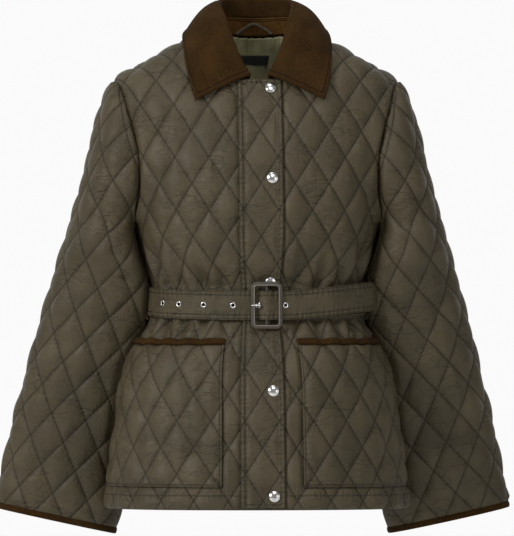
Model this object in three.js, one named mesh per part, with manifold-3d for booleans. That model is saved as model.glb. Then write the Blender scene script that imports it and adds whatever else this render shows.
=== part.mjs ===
// A hip-length quilted jacket with a cord collar, a snap placket, two patch pockets and a buckled belt.
// It keeps the hollow form of a garment that is worn. Millimetres, +Z up, the front faces -Y.
// The origin lies between the shoulders at the height of the neck base, where the wearer holds it up.

import * as THREE from "three";
import { mergeVertices } from "three/addons/utils/BufferGeometryUtils.js";
import Module from "manifold-3d";

// Quilting: the diamonds' size and how far each one puffs above its stitch lines
const DIAMOND_W = 47;
const DIAMOND_H = 72;
const COL = DIAMOND_W / 4;
const ROW = DIAMOND_H / 4;
const CLOTH = 2;
const PUFF = 4.4;
const PUFF_ROUND = 0.6;
const SEAM_GAP = 0.3;
const NEAR_EDGE = 4;
const QUILT_START = 24;

// Levels, measured down the cloth from the origin's height
const T_YOKE = 60;
const T_NECK_FRONT = 24;
const T_NECK_BACK = -48;
const T_ARMPIT = 240;
const T_WAIST = 330;
const T_HEM = 612;
const NECK_X = 72;
const NECK_LEVELS = [0, 0.3, 0.6, 0.85, 0.97, 1];
const TIP_X = 196;
const ROUNDNESS = 2.4;

// The body's level sections: half width, depth to the front and to the back, and the y of the side seam
const TORSO = [
  { z: 46, half: 50, front: 30, back: 38, seamY: 5 },
  { z: 38, half: 72, front: 36, back: 44, seamY: 5 },
  { z: 16, half: 118, front: 50, back: 57, seamY: 5 },
  { z: -3, half: 152, front: 62, back: 68, seamY: 5 },
  { z: -30, half: 196, front: 77, back: 80, seamY: 5 },
  { z: -60, half: 213, front: 92, back: 91, seamY: 5 },
  { z: -110, half: 206, front: 109, back: 102, seamY: 4 },
  { z: -180, half: 182, front: 121, back: 108, seamY: 2 },
  { z: -240, half: 163, front: 122, back: 107, seamY: 0 },
  { z: -276, half: 155, front: 116, back: 103, seamY: 0 },
  { z: -303, half: 146, front: 107, back: 97, seamY: 0 },
  { z: -330, half: 145, front: 106, back: 96, seamY: 0 },
  { z: -357, half: 147, front: 107, back: 98, seamY: 0 },
  { z: -386, half: 163, front: 118, back: 112, seamY: -1 },
  { z: -430, half: 179, front: 132, back: 121, seamY: -4 },
  { z: -480, half: 187, front: 138, back: 127, seamY: -7 },
  { z: -560, half: 198, front: 144, back: 133, seamY: -12 },
  { z: -612, half: 206, front: 147, back: 136, seamY: -15 },
];

// The armhole's edge: how far round from the centre line the cloth reaches at each level
const ARMHOLE = [
  { t: 24, front: 197, back: 197 },
  { t: 60, front: 187, back: 189 },
  { t: 96, front: 177, back: 182 },
  { t: 132, front: 172, back: 179 },
  { t: 168, front: 176, back: 182 },
  { t: 186, front: 183, back: 188 },
  { t: 204, front: 195, back: 198 },
  { t: 222, front: 211, back: 211 },
];

// Gathers that the belt pulls in: where each trough lies, its depth, and its reach above and below the belt
const FRONT_FOLDS = [
  { s: 5 * COL, depth: 5, above: 34, below: 26 },
  { s: 8 * COL, depth: 10, above: 46, below: 34 },
  { s: 11 * COL, depth: 8, above: 40, below: 40 },
  { s: 14 * COL, depth: 12, above: 58, below: 36 },
  { s: 17 * COL, depth: 9, above: 44, below: 40 },
];
const BACK_FOLDS = [
  { s: 3 * COL, depth: 9, above: 52, below: 40 },
  { s: 6 * COL, depth: 7, above: 42, below: 46 },
  { s: 9 * COL, depth: 11, above: 60, below: 38 },
  { s: 12 * COL, depth: 8, above: 44, below: 48 },
  { s: 15 * COL, depth: 10, above: 50, below: 36 },
];
const FOLD_WIDTH = 9;
const UNDER_BELT = 0.45;

// The arm hangs out from the shoulder tip by this angle. Sections square to it, along its length
const ARM_ANGLE = THREE.MathUtils.degToRad(12.3);
const ARM_LENGTH = 597;
const ARM_ARMPIT = 208;
const SLEEVE = [
  { w: 0, inner: -8, outer: 0, y: 5, depth: 10 },
  { w: 22, inner: -18, outer: 4.5, y: 5, depth: 26 },
  { w: 50, inner: -44, outer: 7.5, y: 5, depth: 48 },
  { w: 82, inner: -62, outer: 9, y: 5, depth: 62 },
  { w: 114, inner: -72, outer: 10, y: 4, depth: 69 },
  { w: 146, inner: -78, outer: 11, y: 3, depth: 72 },
  { w: 208, inner: -80, outer: 14, y: 1, depth: 71 },
  { w: 234, inner: -86, outer: 16, y: 4, depth: 68.5 },
  { w: 264, inner: -112, outer: 18.3, y: 17, depth: 65.7 },
  { w: 296, inner: -123, outer: 20.7, y: 25, depth: 63 },
  { w: 340, inner: -126, outer: 24, y: 33, depth: 59 },
  { w: 420, inner: -130, outer: 28, y: 52, depth: 54 },
  { w: 500, inner: -132, outer: 30, y: 72, depth: 50 },
  { w: 597, inner: -136, outer: 31, y: 88, depth: 47 },
];
const CAP_ROWS = [
  { t: 24, w: 22 },
  { t: 60, w: 50 },
  { t: 96, w: 82 },
  { t: 132, w: 114 },
  { t: 168, w: 146 },
  { t: 186, w: 162 },
  { t: 204, w: 178 },
  { t: 222, w: 193 },
];
const ARM_GAP = 8;
const ARM_GAP_SLOPE = 0.6;
const ARM_GAP_WAIST = 9;

// Placket, pockets and their bands
const PLACKET_HALF = 31;
const PLACKET_SEAM = -16;
const PLACKET_TOP = 22;
const WELT = 8;
const OVER = 1;
const POCKET_INNER = 55;
const POCKET_TOP = 380;
const POCKET_BOTTOM = 582;
const POCKET_BAND = 9;
const BAND_THICK = 3;
const CUFF_BAND = 8;

// Belt and buckle. Offsets are outward from the smooth body at the waist, to the belt's inner face
const BELT_WIDTH = 40;
const BELT_THICK = 2.4;
const BELT_T = 327.5;
const BELT_SAG = 6.5;
const BELT_OFF = 4;
const BELT_OVER_PLACKET = 3.8;
const BELT_RISE = 2.5;
const BELT_LAP = 2.9;
const BELT_HUMP = 6.4;
const HUMP_REACH = 8.5;
const BELT_TIP = 172;
const TIP_FLARE = 16;
const TIP_LIFT = 8;
const EYELET_X = [-139, -112, -77, -37, -3, 32];
const EYELET_R = 4.1;
const EYELET_BARREL_R = 2.5;
const EYELET_BORE_R = 2;
const LOOP_SIDE = 186;
const PRONG_X = -3;
const PRONG_R = 0.9;
const BUCKLE_X = 7;
const BUCKLE_W = 43;
const BUCKLE_H = 64;
const BUCKLE_CORNER = 8;
const BUCKLE_BAR = 5.5;
const BUCKLE_THICK = 4.5;
const BUCKLE_OFF = 14;

// Snaps, label and hang loop
const SNAP_R = 7.8;
const SNAP_T = [37, 161, 302, 451, 594];
const SNAP_S = 15;
const LINING_HALF = 74;
const LINING_THICK = 1.2;
const LINING_IN = 1.3;
const LABEL_T = -20;
const LABEL_H = 15;
const LABEL_W = 45;
const LOOP_HALF = 24;
const LOOP_RISE = 15;
const LOOP_LOW = 2;
const LOOP_WIDTH = 4;

// Collar: the roll line and the outer edge, as they run round from the front end to the centre back
const COLLAR = [
  { turn: 10, rollX: 12, rollY: -75, rollZ: -20, edgeX: 88, edgeY: -92, edgeZ: -54 },
  { turn: 24, rollX: 24, rollY: -66, rollZ: 1, edgeX: 97, edgeY: -72, edgeZ: -22 },
  { turn: 42, rollX: 36, rollY: -52, rollZ: 30, edgeX: 101, edgeY: -46, edgeZ: 8 },
  { turn: 62, rollX: 45, rollY: -32, rollZ: 58, edgeX: 102, edgeY: -20, edgeZ: 30 },
  { turn: 82, rollX: 51, rollY: -8, rollZ: 76, edgeX: 99, edgeY: 6, edgeZ: 37 },
  { turn: 105, rollX: 49, rollY: 17, rollZ: 84, edgeX: 88, edgeY: 40, edgeZ: 31 },
  { turn: 130, rollX: 38, rollY: 38, rollZ: 86, edgeX: 66, edgeY: 63, edgeZ: 20 },
  { turn: 155, rollX: 20, rollY: 50, rollZ: 87, edgeX: 35, edgeY: 73, edgeZ: 14 },
  { turn: 180, rollX: 0, rollY: 54, rollZ: 87, edgeX: 0, edgeY: 76, edgeZ: 12 },
];
const COLLAR_THICK = 2;
const STAND_SHARE = 0.5;
const STAND_IN = 1.5;
const SHOULDER_TURN = 82;
const FOLD_R = 1.8;
const BULGE = 9;
const BULGE_AT_END = 0.3;

const SHELL = { color: 0x4b453a, roughness: 0.55, metalness: 0 };
const CORD = { color: 0x3a2815, roughness: 0.95, metalness: 0 };
const LINING = { color: 0x3f4230, roughness: 0.4, metalness: 0 };
const METAL = { color: 0xc9c9c9, roughness: 0.2, metalness: 1 };
const LABEL = { color: 0x14130f, roughness: 0.8, metalness: 0 };

const V = (x, y, z) => new THREE.Vector3(x, y, z);
const clamp = THREE.MathUtils.clamp;
const smoothstep = (x, from, to) => THREE.MathUtils.smoothstep(x, from, to);

// Reads one column of a table at a place between its rows, on a smooth curve
function read(table, key, column, at) {
  const up = table[0][key] < table[table.length - 1][key];
  const rows = up ? table : [...table].reverse();
  const last = rows.length - 1;
  if (at <= rows[0][key]) return rows[0][column];
  if (at >= rows[last][key]) return rows[last][column];
  let i = 0;
  while (rows[i + 1][key] < at) i++;
  const slope = (k) => {
    const a = rows[Math.max(0, k - 1)];
    const b = rows[Math.min(last, k + 1)];
    return (b[column] - a[column]) / (b[key] - a[key]);
  };
  const span = rows[i + 1][key] - rows[i][key];
  const f = (at - rows[i][key]) / span;
  const [p, q] = [rows[i][column], rows[i + 1][column]];
  const [m, n] = [slope(i) * span, slope(i + 1) * span];
  const [f2, f3] = [f * f, f * f * f];
  return (2 * f3 - 3 * f2 + 1) * p + (f3 - 2 * f2 + f) * m + (3 * f2 - 2 * f3) * q + (f3 - f2) * n;
}

// A level section of the body on one side, +1 for the back and -1 for the front
function depthAt(x, z, side) {
  const half = read(TORSO, "z", "half", z);
  const deep = read(TORSO, "z", side > 0 ? "back" : "front", z);
  const rest = Math.max(0, 1 - Math.pow(Math.min(1, Math.abs(x) / half), ROUNDNESS));
  return read(TORSO, "z", "seamY", z) + side * deep * Math.pow(rest, 1 / ROUNDNESS);
}

const sectionCache = new Map();
function section(z, side) {
  const name = z.toFixed(3) + side;
  if (sectionCache.has(name)) return sectionCache.get(name);
  const half = read(TORSO, "z", "half", z);
  const deep = read(TORSO, "z", side > 0 ? "back" : "front", z);
  const seamY = read(TORSO, "z", "seamY", z);
  const made = [{ run: 0, x: 0, y: seamY + side * deep }];
  const steps = 120;
  for (let k = 1; k <= steps; k++) {
    const angle = (k / steps) * (Math.PI / 2);
    const x = half * Math.pow(Math.sin(angle), 2 / ROUNDNESS);
    const y = seamY + side * deep * Math.pow(Math.max(0, Math.cos(angle)), 2 / ROUNDNESS);
    const before = made[k - 1];
    made.push({ run: before.run + Math.hypot(x - before.x, y - before.y), x, y });
  }
  sectionCache.set(name, made);
  return made;
}

function along(points, run) {
  const last = points.length - 1;
  let k = 1;
  while (k < last && points[k].run < run) k++;
  const [a, b] = [points[k - 1], points[k]];
  const f = (run - a.run) / (b.run - a.run);
  const mixed = {};
  for (const name of Object.keys(a)) mixed[name] = a[name] + (b[name] - a[name]) * f;
  return mixed;
}

const girth = (z, side) => section(z, side).at(-1).run;

// The cloth's own width from the centre line to the side seam, which the belt gathers at the waist
function clothWidth(t, side) {
  const top = girth(-T_ARMPIT, side);
  const low = girth(-T_HEM, side);
  return top + ((low - top) * clamp(t - T_ARMPIT, 0, T_HEM)) / (T_HEM - T_ARMPIT);
}

// Over the yoke the cloth climbs straight up at one x, and turns over the shoulder to its seam
function ridgeZ(x) {
  let [low, high] = [-30, 46];
  for (let k = 0; k < 40; k++) {
    const mid = (low + high) / 2;
    if (read(TORSO, "z", "half", mid) > x) low = mid;
    else high = mid;
  }
  return low;
}

const climbCache = new Map();
function climb(x, side) {
  const name = x.toFixed(3) + side;
  if (climbCache.has(name)) return climbCache.get(name);
  const top = ridgeZ(x);
  const made = [{ run: 0, z: -T_YOKE, y: depthAt(x, -T_YOKE, side) }];
  const steps = 90;
  for (let k = 1; k <= steps; k++) {
    const z = -T_YOKE + (top + T_YOKE) * Math.sin(((k / steps) * Math.PI) / 2);
    const y = k === steps ? read(TORSO, "z", "seamY", top) : depthAt(x, z, side);
    const before = made[k - 1];
    made.push({ run: before.run + Math.hypot(z - before.z, y - before.y), z, y });
  }
  climbCache.set(name, made);
  return made;
}

// The smooth body under the quilting: s runs round from the centre line, t runs down the cloth
function bodyForm(s, t, side) {
  const turn = s < 0 ? -1 : 1;
  const far = Math.abs(s);
  if (t < T_YOKE) {
    const x = along(section(-T_YOKE, side), far).x;
    const at = along(climb(x, side), T_YOKE - t);
    return V(turn * x, at.y, at.z);
  }
  const ring = section(-t, side);
  const share = t > T_ARMPIT ? ring.at(-1).run / clothWidth(t, side) : 1;
  const at = along(ring, far * share);
  return V(turn * at.x, at.y, -t);
}

function foldDepth(s, t, side) {
  const folds = side > 0 ? BACK_FOLDS : FRONT_FOLDS;
  let deep = 0;
  for (const f of folds) {
    const off = (Math.abs(s) - f.s) / FOLD_WIDTH;
    const half = BELT_WIDTH / 2;
    const away = Math.abs(t - T_WAIST) - half;
    const reach = t < T_WAIST ? f.above : f.below;
    const run = away < 0 ? UNDER_BELT : Math.exp(-Math.pow(away / reach, 2));
    deep += f.depth * run * Math.exp(-off * off);
  }
  return deep;
}

function outward(form, s, t) {
  const d = 1.5;
  const across = form(s + d, t).sub(form(s - d, t));
  const down = form(s, t + d).sub(form(s, t - d));
  return across.cross(down).normalize();
}

function bodyNormal(s, t, side) {
  const edge = clothWidth(Math.max(t, T_ARMPIT), side) - 2;
  const at = clamp(s, -edge, edge);
  return outward((a, b) => bodyForm(a, b, side), at, t).multiplyScalar(side);
}

const bodyBase = (s, t, side) =>
  bodyForm(s, t, side).addScaledVector(bodyNormal(s, t, side), -foldDepth(s, t, side));

// A level that lies in step with the diamonds
const onQuilting = (t) => Math.abs((t - QUILT_START) / ROW - Math.round((t - QUILT_START) / ROW)) < 0.01;

// How full the quilting stands at a place: 0 on a stitch line and 1 in the middle of a diamond
function puffAt(s, t) {
  const f = (v) => v - Math.floor(v);
  const p = f(s / DIAMOND_W + (t - QUILT_START) / DIAMOND_H);
  const q = f(s / DIAMOND_W - (t - QUILT_START) / DIAMOND_H);
  return Math.pow(16 * p * (1 - p) * q * (1 - q), PUFF_ROUND);
}

// Joins two rows of points with triangles. Edges that run along a stitch line come first, then the shortest
function bridge(a, b, faces) {
  let [i, j] = [0, 0];
  const stitch = (p, q) =>
    p.low && q.low && Math.abs(Math.abs(p.s - q.s) * DIAMOND_H - Math.abs(p.t - q.t) * DIAMOND_W) < 1;
  const cost = (p, q) => (stitch(p, q) ? -1 : Math.abs(p.s - q.s) + 3 * (p.puff + q.puff));
  while (i < a.length - 1 || j < b.length - 1) {
    const onA = i < a.length - 1 ? cost(a[i + 1], b[j]) : Infinity;
    const onB = j < b.length - 1 ? cost(a[i], b[j + 1]) : Infinity;
    if (onA <= onB) faces.push([a[i].id, b[j].id, a[++i].id]);
    else faces.push([a[i].id, b[j].id, b[++j].id]);
  }
}

// A closed wall from rows of points, each with an inner and an outer place. open tells which end stays unrimmed.
// The plain inside leaves out the points that only carry quilting
function wall(rows, open = () => false) {
  const all = rows.flat();
  all.forEach((p, k) => (p.id = k));
  const [faces, insides] = [[], []];
  const last = rows.length - 1;
  const lining = rows.map((row, k) => (k === 0 || k === last ? row : row.filter((p) => !p.plain)));
  for (let k = 1; k <= last; k++) {
    bridge(rows[k - 1], rows[k], faces);
    bridge(lining[k - 1], lining[k], insides);
  }
  const rim = [
    ...rows[0],
    ...rows.slice(1).map((r) => r.at(-1)),
    ...rows.at(-1).slice(0, -1).reverse(),
    ...rows.slice(1, -1).reverse().map((r) => r[0]),
  ];
  const position = [];
  const put = (p) => position.push(p.x, p.y, p.z);
  for (const face of faces) face.forEach((k) => put(all[k].outer));
  for (const [a, b, c] of insides) [a, c, b].forEach((k) => put(all[k].inner));
  rim.forEach((p, k) => {
    const q = rim[(k + 1) % rim.length];
    if (p === q || (open(p) && open(q))) return;
    [p.outer, q.outer, q.inner, p.outer, q.inner, p.inner].forEach(put);
  });
  return position;
}

function geometryOf(position) {
  const g = new THREE.BufferGeometry();
  g.setAttribute("position", new THREE.Float32BufferAttribute(position, 3));
  const merged = mergeVertices(g, 1e-3);
  let six = 0;
  const [p, index] = [merged.attributes.position, merged.index];
  const [a, b, c] = [V(0, 0, 0), V(0, 0, 0), V(0, 0, 0)];
  for (let k = 0; k < index.count; k += 3) {
    [a, b, c].forEach((v, m) => v.fromBufferAttribute(p, index.getX(k + m)));
    six += a.dot(b.clone().cross(c));
  }
  if (six < 0) {
    for (let k = 0; k < index.count; k += 3) {
      const keep = index.getX(k + 1);
      index.setX(k + 1, index.getX(k + 2));
      index.setX(k + 2, keep);
    }
  }
  merged.computeVertexNormals();
  return merged;
}

function mirrored(position) {
  const made = [];
  for (let k = 0; k < position.length; k += 9) {
    for (const m of [0, 6, 3]) made.push(-position[k + m], position[k + m + 1], position[k + m + 2]);
  }
  return made;
}

// Levels of the body's rows: every second quarter row, with more near the armpit and the waist
const BODY_ROWS = [];
for (let t = QUILT_START; t <= 600; t += 2 * ROW) {
  if (Math.abs(t - T_WAIST) > 27) BODY_ROWS.push(t);
}
BODY_ROWS.push(186, 222, T_WAIST - 27, T_WAIST, T_WAIST + 27, 582, T_HEM);
BODY_ROWS.sort((a, b) => a - b);

const seamT = (s, side) => T_YOKE - climb(along(section(-T_YOKE, side), s).x, side).at(-1).run;

function sAtX(x, side) {
  const ring = section(-T_YOKE, side);
  let k = 1;
  while (ring[k].x < x) k++;
  const f = (x - ring[k - 1].x) / (ring[k].x - ring[k - 1].x);
  return ring[k - 1].run + f * (ring[k].run - ring[k - 1].run);
}

// Where a row meets the shoulder seam
function shoulderS(t, side) {
  let [low, high] = [sAtX(NECK_X, side), sAtX(TIP_X, side)];
  for (let k = 0; k < 40; k++) {
    const mid = (low + high) / 2;
    if (seamT(mid, side) < t) low = mid;
    else high = mid;
  }
  return low;
}

function armholeS(t, side) {
  const column = side > 0 ? "back" : "front";
  const tip = { t: seamT(sAtX(TIP_X, side), side), [column]: sAtX(TIP_X, side) };
  const pit = { t: T_ARMPIT, [column]: clothWidth(T_ARMPIT, side) };
  return read([tip, ...ARMHOLE, pit], "t", column, t);
}

// The neck's edge, on an oval from the centre line to the neck point
function neckS(t, side) {
  const low = side > 0 ? T_NECK_BACK : T_NECK_FRONT;
  const top = seamT(sAtX(NECK_X, side), side);
  const f = clamp((t - top) / (low - top), 0, 1);
  return sAtX(NECK_X, side) * Math.sqrt(1 - f * f);
}

// Points of one row between two ends, on the quilting's own columns, or every second one where it is pressed flat
function rowPoints(start, end, pressed) {
  const made = [start];
  for (let k = Math.ceil((start + NEAR_EDGE) / COL); k * COL <= end - NEAR_EDGE; k++) {
    if (k % 2 === 0 || !pressed(k * COL)) made.push(k * COL);
  }
  if (end > start) made.push(end);
  return made;
}

// The arm's own frame: w down the arm from the shoulder tip, e out from it
const ARM_DOWN = V(Math.sin(ARM_ANGLE), 0, -Math.cos(ARM_ANGLE));
const ARM_OUT = V(Math.cos(ARM_ANGLE), 0, Math.sin(ARM_ANGLE));
const TIP = V(TIP_X, 5, -30);
const armPlace = (w, e, y) => V(TIP.x, y, TIP.z).addScaledVector(ARM_DOWN, w).addScaledVector(ARM_OUT, e);

function armCoordinates(p) {
  const from = p.clone().sub(TIP);
  return { w: from.dot(ARM_DOWN), e: from.dot(ARM_OUT), y: p.y };
}

// One ring of the sleeve as a fine line, from the front underarm over the top to the back underarm
const ringCache = new Map();
function sleeveRing(w, cap) {
  const name = w.toFixed(3);
  if (ringCache.has(name)) return ringCache.get(name);
  const [inner, outer] = [read(SLEEVE, "w", "inner", w), read(SLEEVE, "w", "outer", w)];
  const [y, depth] = [read(SLEEVE, "w", "y", w), read(SLEEVE, "w", "depth", w)];
  const [centre, half] = [(inner + outer) / 2, (outer - inner) / 2];
  const radius = (a) => {
    const [c, s] = [Math.abs(Math.cos(a)) / half, Math.abs(Math.sin(a)) / depth];
    return Math.pow(Math.pow(c, 2.2) + Math.pow(s, 2.2), -1 / 2.2);
  };
  const ends = [-1, 1].map((side) => {
    if (!cap) return { angle: Math.PI, factor: 1, w };
    const edge = armCoordinates(bodyForm(armholeS(cap.t, side), cap.t, side));
    const angle = Math.atan2(Math.abs(edge.y - y), edge.e - centre);
    return { angle, factor: Math.hypot(edge.y - y, edge.e - centre) / radius(angle), w: edge.w };
  });
  const steps = 90;
  const halfRing = (side) => {
    const end = ends[side > 0 ? 1 : 0];
    const made = [];
    for (let k = 0; k <= steps; k++) {
      const f = k / steps;
      const mix = f * f * (3 - 2 * f);
      const r = radius(end.angle * f) * (1 + (end.factor - 1) * mix);
      const e = centre + r * Math.cos(end.angle * f);
      const p = clearOfBody(armPlace(w + (end.w - w) * mix, e, y + side * r * Math.sin(end.angle * f)), cap);
      const run = k ? made[k - 1].run + p.distanceTo(V(made[k - 1].x, made[k - 1].y, made[k - 1].z)) : 0;
      made.push({ run, x: p.x, y: p.y, z: p.z });
    }
    return made;
  };
  const ring = { front: halfRing(-1), back: halfRing(1) };
  ringCache.set(name, ring);
  return ring;
}

// How far out the body's side reaches at a place beside it, or nothing where the place is ahead of or behind it
function sideReach(p) {
  const seamY = read(TORSO, "z", "seamY", p.z);
  const deep = read(TORSO, "z", p.y > seamY ? "back" : "front", p.z);
  const off = Math.abs(p.y - seamY) / deep;
  if (off >= 1) return -Infinity;
  return read(TORSO, "z", "half", p.z) * Math.pow(1 - Math.pow(off, ROUNDNESS), 1 / ROUNDNESS);
}

// Near the armpit and below it the sleeve is pressed flat where it would run into the body's side
function clearOfBody(p, cap) {
  if (cap ? cap.t < ARMHOLE.at(-1).t + 1 : p.z > -T_ARMPIT) return p;
  const fromSeam = Math.abs(p.y - read(TORSO, "z", "seamY", p.z));
  const atWaist = ARM_GAP_WAIST * (1 - smoothstep(Math.abs(p.z + T_WAIST), 26, 60));
  const gap = cap ? Math.min(ARM_GAP, ARM_GAP_SLOPE * fromSeam) : ARM_GAP + atWaist;
  return V(Math.max(p.x, sideReach(p) + gap), p.y, p.z);
}

// How near a place on the body lies to the arm beside it, from 0 at the arm to 1 clear of it
function armPress(p) {
  const at = armCoordinates(V(Math.abs(p.x), p.y, p.z));
  if (at.w < ARM_ARMPIT - 30 || at.w > ARM_LENGTH + 40) return 1;
  const [inner, outer] = [read(SLEEVE, "w", "inner", at.w), read(SLEEVE, "w", "outer", at.w)];
  const across = Math.abs(at.e - (inner + outer) / 2) / ((outer - inner) / 2);
  const deep = Math.abs(at.y - read(SLEEVE, "w", "y", at.w)) / read(SLEEVE, "w", "depth", at.w);
  const round = Math.pow(Math.pow(across, 2.2) + Math.pow(deep, 2.2), 1 / 2.2);
  return smoothstep((round - 1) * 60, 8, 26);
}

function sleeveForm(u, w, cap) {
  const ring = sleeveRing(w, cap);
  const at = along(u < 0 ? ring.front : ring.back, Math.abs(u));
  return V(at.x, at.y, at.z);
}

const mesh = (name, geometry, look) => {
  const made = new THREE.Mesh(geometry, new THREE.MeshStandardMaterial(look));
  made.name = name;
  return made;
};

// The outward direction that the body's and the sleeve's edges share along the armhole
function armholeNormal(t, side) {
  const s = armholeS(t, side);
  const body = bodyNormal(s - 3, t, side);
  const at = bodyForm(s, t, side);
  const arm = armCoordinates(at);
  const level = clamp(arm.w, 0, ARM_ARMPIT);
  const y = read(SLEEVE, "w", "y", level);
  const centre = (read(SLEEVE, "w", "inner", level) + read(SLEEVE, "w", "outer", level)) / 2;
  const sleeve = V(0, arm.y - y, 0).addScaledVector(ARM_OUT, arm.e - centre).normalize();
  const low = smoothstep(t, 150, T_ARMPIT);
  return body.add(sleeve).addScaledVector(V(0, 0, -1), 1.5 * low).normalize();
}

// Where other pieces lie on the body the quilting is pressed flat
function bodyPress(s, t, side) {
  const far = Math.abs(s);
  let press = 1;
  if (side < 0) press *= smoothstep(far, PLACKET_HALF + 1, PLACKET_HALF + 10);
  if (side < 0 && far > POCKET_INNER - 9 && t > POCKET_TOP - POCKET_BAND - 6 && t < POCKET_BOTTOM + 4) press = 0;
  const beltEdge = Math.abs(t - T_WAIST) - BELT_WIDTH / 2;
  press *= smoothstep(beltEdge, 7, 22);
  return press * armPress(bodyForm(s, t, side));
}

// One half of the front or back, from its inner edge out to the side seam
function bodyRows(side, start) {
  const gap = SEAM_GAP / 2;
  const neckPoint = seamT(sAtX(NECK_X, side), side);
  const tip = seamT(sAtX(TIP_X, side), side);
  const low = side > 0 ? T_NECK_BACK : T_NECK_FRONT;
  const above = NECK_LEVELS.map((f) => neckPoint + (low - neckPoint) * f);
  for (let t = QUILT_START - 2 * ROW; t > Math.min(low, -8); t -= 2 * ROW) above.push(t);
  const levels = [...new Set([...above, tip, ...BODY_ROWS])];
  levels.sort((a, b) => a - b);
  return levels.map((t) => {
    const first = t < low ? neckS(t, side) : start;
    const onShoulder = t <= tip;
    const inArmhole = !onShoulder && t < T_ARMPIT;
    const last = onShoulder ? shoulderS(t, side) : inArmhole ? armholeS(t, side) - gap : clothWidth(t, side) - gap;
    const places = rowPoints(Math.min(first, last), last, (s) => bodyPress(s, t, side) < 0.05 && foldDepth(s, t, side) < 0.2);
    const quilted = onQuilting(t);
    return places.map((s, k) => {
      const atEnd = k === places.length - 1;
      const edge = atEnd || k === 0;
      const fromSeam = Math.min(last - s, t < T_NECK_FRONT ? s - first + 4 : 99, T_HEM - t);
      const puff = edge ? 0 : puffAt(s, t) * bodyPress(s, t, side) * smoothstep(fromSeam, 0, 12);
      let inner = bodyBase(s, t, side);
      let n = bodyNormal(s, t, side);
      if (atEnd && onShoulder) {
        inner = bodyForm(s, t, side);
        inner.y += side * gap;
        n = V(Math.sin(0.55), 0, Math.cos(0.55));
        if (t === tip) n = armholeNormal(Math.max(t, 8), side).add(n).setY(0).normalize();
      } else if (atEnd && inArmhole) n = armholeNormal(t, side);
      else if (atEnd && t === T_ARMPIT) n = V(0.35, 0, -1).normalize();
      else if (atEnd) n = V(1, 0, 0);
      const low = quilted && !edge && puffAt(s, t) < 0.01;
      const plain = !edge && Math.abs(Math.round(s / COL)) % 2 === 1 && foldDepth(s, t, side) < 0.2;
      return { s, t, low, plain, puff, inner, outer: inner.clone().addScaledVector(n, CLOTH + PUFF * puff) };
    });
  });
}

function buildFront(mirror, start) {
  const position = wall(bodyRows(-1, start));
  return geometryOf(mirror ? mirrored(position) : position);
}

function buildBack() {
  const half = wall(bodyRows(1, 0), (p) => Math.abs(p.inner.x) < 1e-6);
  return geometryOf([...half, ...mirrored(half)]);
}

// A sleeve: cap rows share the body's armhole points, and the rows below run down to the cuff
function sleeveRows() {
  const rows = [];
  const gap = SEAM_GAP / 2;
  const tip = armPlace(SEAM_GAP, 0, TIP.y);
  rows.push([{ s: 0, t: 0, low: false, puff: 0, inner: tip, outer: tip.clone().addScaledVector(V(0.75, 0, 0.66), CLOTH) }]);
  const below = [];
  for (let w = ARM_ARMPIT + 2 * ROW; w < ARM_LENGTH - 12; w += 2 * ROW) below.push(w);
  const plan = [
    ...CAP_ROWS.map((c) => ({ w: c.w, t: c.t, cap: c })),
    { w: ARM_ARMPIT, t: T_ARMPIT, cap: { t: T_ARMPIT - 0.01 } },
    { w: ARM_ARMPIT + ROW, t: T_ARMPIT + ROW },
    ...below.map((w) => ({ w, t: w - ARM_ARMPIT + T_ARMPIT })),
    { w: ARM_LENGTH, t: ARM_LENGTH - ARM_ARMPIT + T_ARMPIT },
  ];
  for (const level of plan) {
    const ring = sleeveRing(level.w, level.cap);
    const [front, back] = [ring.front.at(-1).run, ring.back.at(-1).run];
    const press = (u) => {
      const p = sleeveForm(u, level.w, level.cap);
      return level.t < T_ARMPIT - 20 ? 1 : smoothstep(p.x - sideReach(p), ARM_GAP + 1, ARM_GAP + 16);
    };
    const places = rowPoints(-(front - gap), back - gap, (u) => press(u) < 0.05);
    const quilted = onQuilting(level.t);
    rows.push(
      places.map((u, k) => {
        const edge = k === 0 || k === places.length - 1;
        const inner = sleeveForm(u, level.w, level.cap);
        const side = u < 0 ? -1 : 1;
        const down = armCoordinates(inner);
        const y = read(SLEEVE, "w", "y", level.w);
        const centre = (read(SLEEVE, "w", "inner", level.w) + read(SLEEVE, "w", "outer", level.w)) / 2;
        let n = V(0, (down.y - y) * 0.95, 0).addScaledVector(ARM_OUT, down.e - centre).normalize();
        if (edge && level.cap && level.t < T_ARMPIT) n = armholeNormal(level.t, side);
        else if (edge && level.t === T_ARMPIT) n = V(0.35, 0, -1).normalize();
        const puff = edge || !quilted ? 0 : puffAt(u, level.t) * press(u);
        const low = quilted && !edge && puffAt(u, level.t) < 0.01;
        const plain = !edge && Math.abs(Math.round(u / COL)) % 2 === 1;
        const outer = inner.clone().addScaledVector(n, CLOTH + PUFF * puff);
        return { s: u, t: level.t, low, plain, puff, inner, outer };
      }),
    );
  }
  return rows;
}

// A closed solid from rings of points. Each ring closes on itself, and the ends are capped or joined
function rings(list, joined = false) {
  const position = [];
  const put = (...points) => points.forEach((p) => position.push(p.x, p.y, p.z));
  const count = list[0].length;
  const spans = joined ? list.length : list.length - 1;
  for (let i = 0; i < spans; i++) {
    const [a, b] = [list[i], list[(i + 1) % list.length]];
    for (let j = 0; j < count; j++) {
      const k = (j + 1) % count;
      put(a[j], b[j], b[k], a[j], b[k], a[k]);
    }
  }
  if (!joined) {
    for (let j = 1; j < count - 1; j++) {
      put(list[0][0], list[0][j], list[0][j + 1]);
      put(list.at(-1)[0], list.at(-1)[j + 1], list.at(-1)[j]);
    }
  }
  return geometryOf(position);
}

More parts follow.
